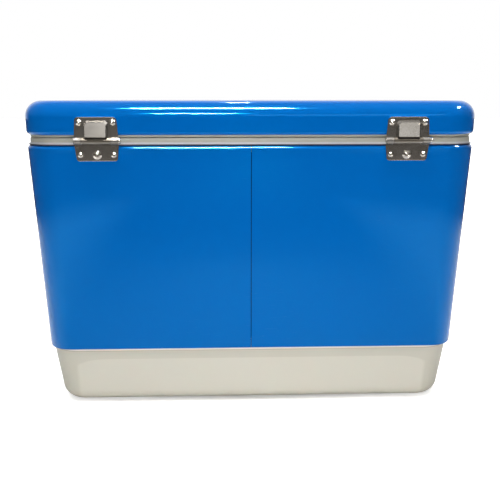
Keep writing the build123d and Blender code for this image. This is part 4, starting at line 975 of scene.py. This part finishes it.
def make_lights():
    """A soft key high on the camera's side, weak fills in front and low down, strips for the enamel."""
    for light in SOFT_LIGHTS:
        area_light(*light, mirrored=False)
    for light in MIRRORED_LIGHTS:
        area_light(*light, mirrored=True)


def room_color(world):
    """A room that is dark below and white above, with a white screen in front of the chest."""
    ramp = world.node("ShaderNodeValToRGB", {"Fac": world.axis("Z")})
    stops = ramp.color_ramp.elements
    stops.new(ROOM[1][0])
    for stop, (position, color) in zip(stops, ROOM):
        stop.position = position
        stop.color = rgba(color)
    on_screen = world.span(world.axis("Y"), low=SCREEN_START, high=SCREEN_FULL)
    return world.mixed(on_screen, ramp.outputs["Color"], rgba(SCREEN))


def make_world():
    """White behind the object for the camera, and a dim studio room for all other rays."""
    studio = bpy.data.worlds.new("studio")
    bpy.context.scene.world = studio
    studio.use_nodes = True
    world = Nodes(studio.node_tree, "Generated")
    path = world.node("ShaderNodeLightPath").outputs
    room = world.tree.nodes["Background"]
    world.feed(room_color(world), room.inputs["Color"])
    glossy = path["Is Glossy Ray"]
    strength = world.span(glossy, low=0.0, high=1.0, to_low=ROOM_ON_DULL, to_high=ROOM_ON_GLOSS)
    world.feed(strength, room.inputs["Strength"])
    backdrop = world.node("ShaderNodeBackground", {"Color": WHITE})
    shaders = {"Fac": path["Is Camera Ray"], 1: room.outputs[0], 2: backdrop.outputs[0]}
    mix = world.node("ShaderNodeMixShader", shaders)
    world.feed(mix.outputs[0], world.tree.nodes["World Output"].inputs["Surface"])


def floor_finish():
    """Pale matte floor: for camera rays it glows white, more with distance from the chest, so that it melts
    into the backdrop and its contact shadow is lifted; reflections of its far part are dark.
    """
    pale, mirrored, bounced = (0.93, 0.93, 0.93), (0.06, 0.05, 0.042), (0.62, 0.61, 0.58)
    floor = Finish("pale_floor", pale, Roughness=0.8, Specular_IOR_Level=0.1)
    floor.patches((0.92, 0.92, 0.92), scale=2.0, detail=3, low=0.3, high=0.7, most=0.3)
    path = floor.node("ShaderNodeLightPath").outputs
    away = floor.node("ShaderNodeVectorMath", {0: floor.coords}, operation="LENGTH").outputs["Value"]
    near_dark = floor.span(away, low=0.35, high=1.1, to_low=0.55)
    middle = floor.span(floor.distance(floor.axis("X")), low=0.3, high=0.44, to_low=1.0, to_high=0.3)
    far_dark = floor.span(away, low=1.05, high=1.5)
    dark = floor.math("MAXIMUM", floor.both(near_dark, middle), far_dark)
    floor.tint(floor.both(dark, path["Is Glossy Ray"]), mirrored)
    floor.tint(path["Is Diffuse Ray"], bounced)
    # Painted light: the floor glows for camera rays, lifting the contact shadow near the chest.
    camera_glow = floor.span(away, low=0.08, high=0.55)
    floor.put("Emission Strength", floor.both(camera_glow, path["Is Camera Ray"]))
    floor.put("Emission Color", WHITE)
    return floor


def make_floor():
    """The floor that the chest stands on."""
    corners = [(x * FLOOR_HALF, y * FLOOR_HALF, 0) for x, y in ((-1, -1), (1, -1), (1, 1), (-1, 1))]
    floor = new_object("floor", corners, [(0, 1, 2, 3)])
    floor.data.materials.append(floor_finish().material)


def make_camera():
    """At the photograph's viewing angle: a metre behind the chest's middle, level with its lid."""
    camera = bpy.data.objects.new("camera", bpy.data.cameras.new("camera"))
    camera.data.lens = CAMERA_LENS
    camera.data.clip_start = 10 * MM
    camera.location = CAMERA_PLACE
    level = math.cos(CAMERA_PITCH)
    aim(camera, (-math.sin(CAMERA_YAW) * level, -math.cos(CAMERA_YAW) * level, -math.sin(CAMERA_PITCH)))
    bpy.context.scene.camera = camera


# ---------------------------------------------------------------- the whole scene
paint_cad_nodes()
make_belt()
make_lid()
make_pan()
make_rivets("lid_hinge_rivets", "hinge_lid_rivets", "lid", REAR_OF_LID)
make_rivets("body_hinge_rivets", "hinge_body_rivets", "chest", REAR_OF_BELT, head=SMALL_RIVET_HEAD)
make_rivets("latch_plate_rivets", "latch_rivets", "chest", FRONT_OF_BELT)
make_rivets("strike_plate_rivets", "strike_rivets", "lid", FRONT_OF_LID)
make_rivets("handle_plate_rivets", "handle_rivets", "chest", end_of_belt)
make_screws()
soften_cad_nodes()
make_world()
make_floor()
make_lights()
make_camera()
bpy.context.scene.view_settings.view_transform = "Standard"
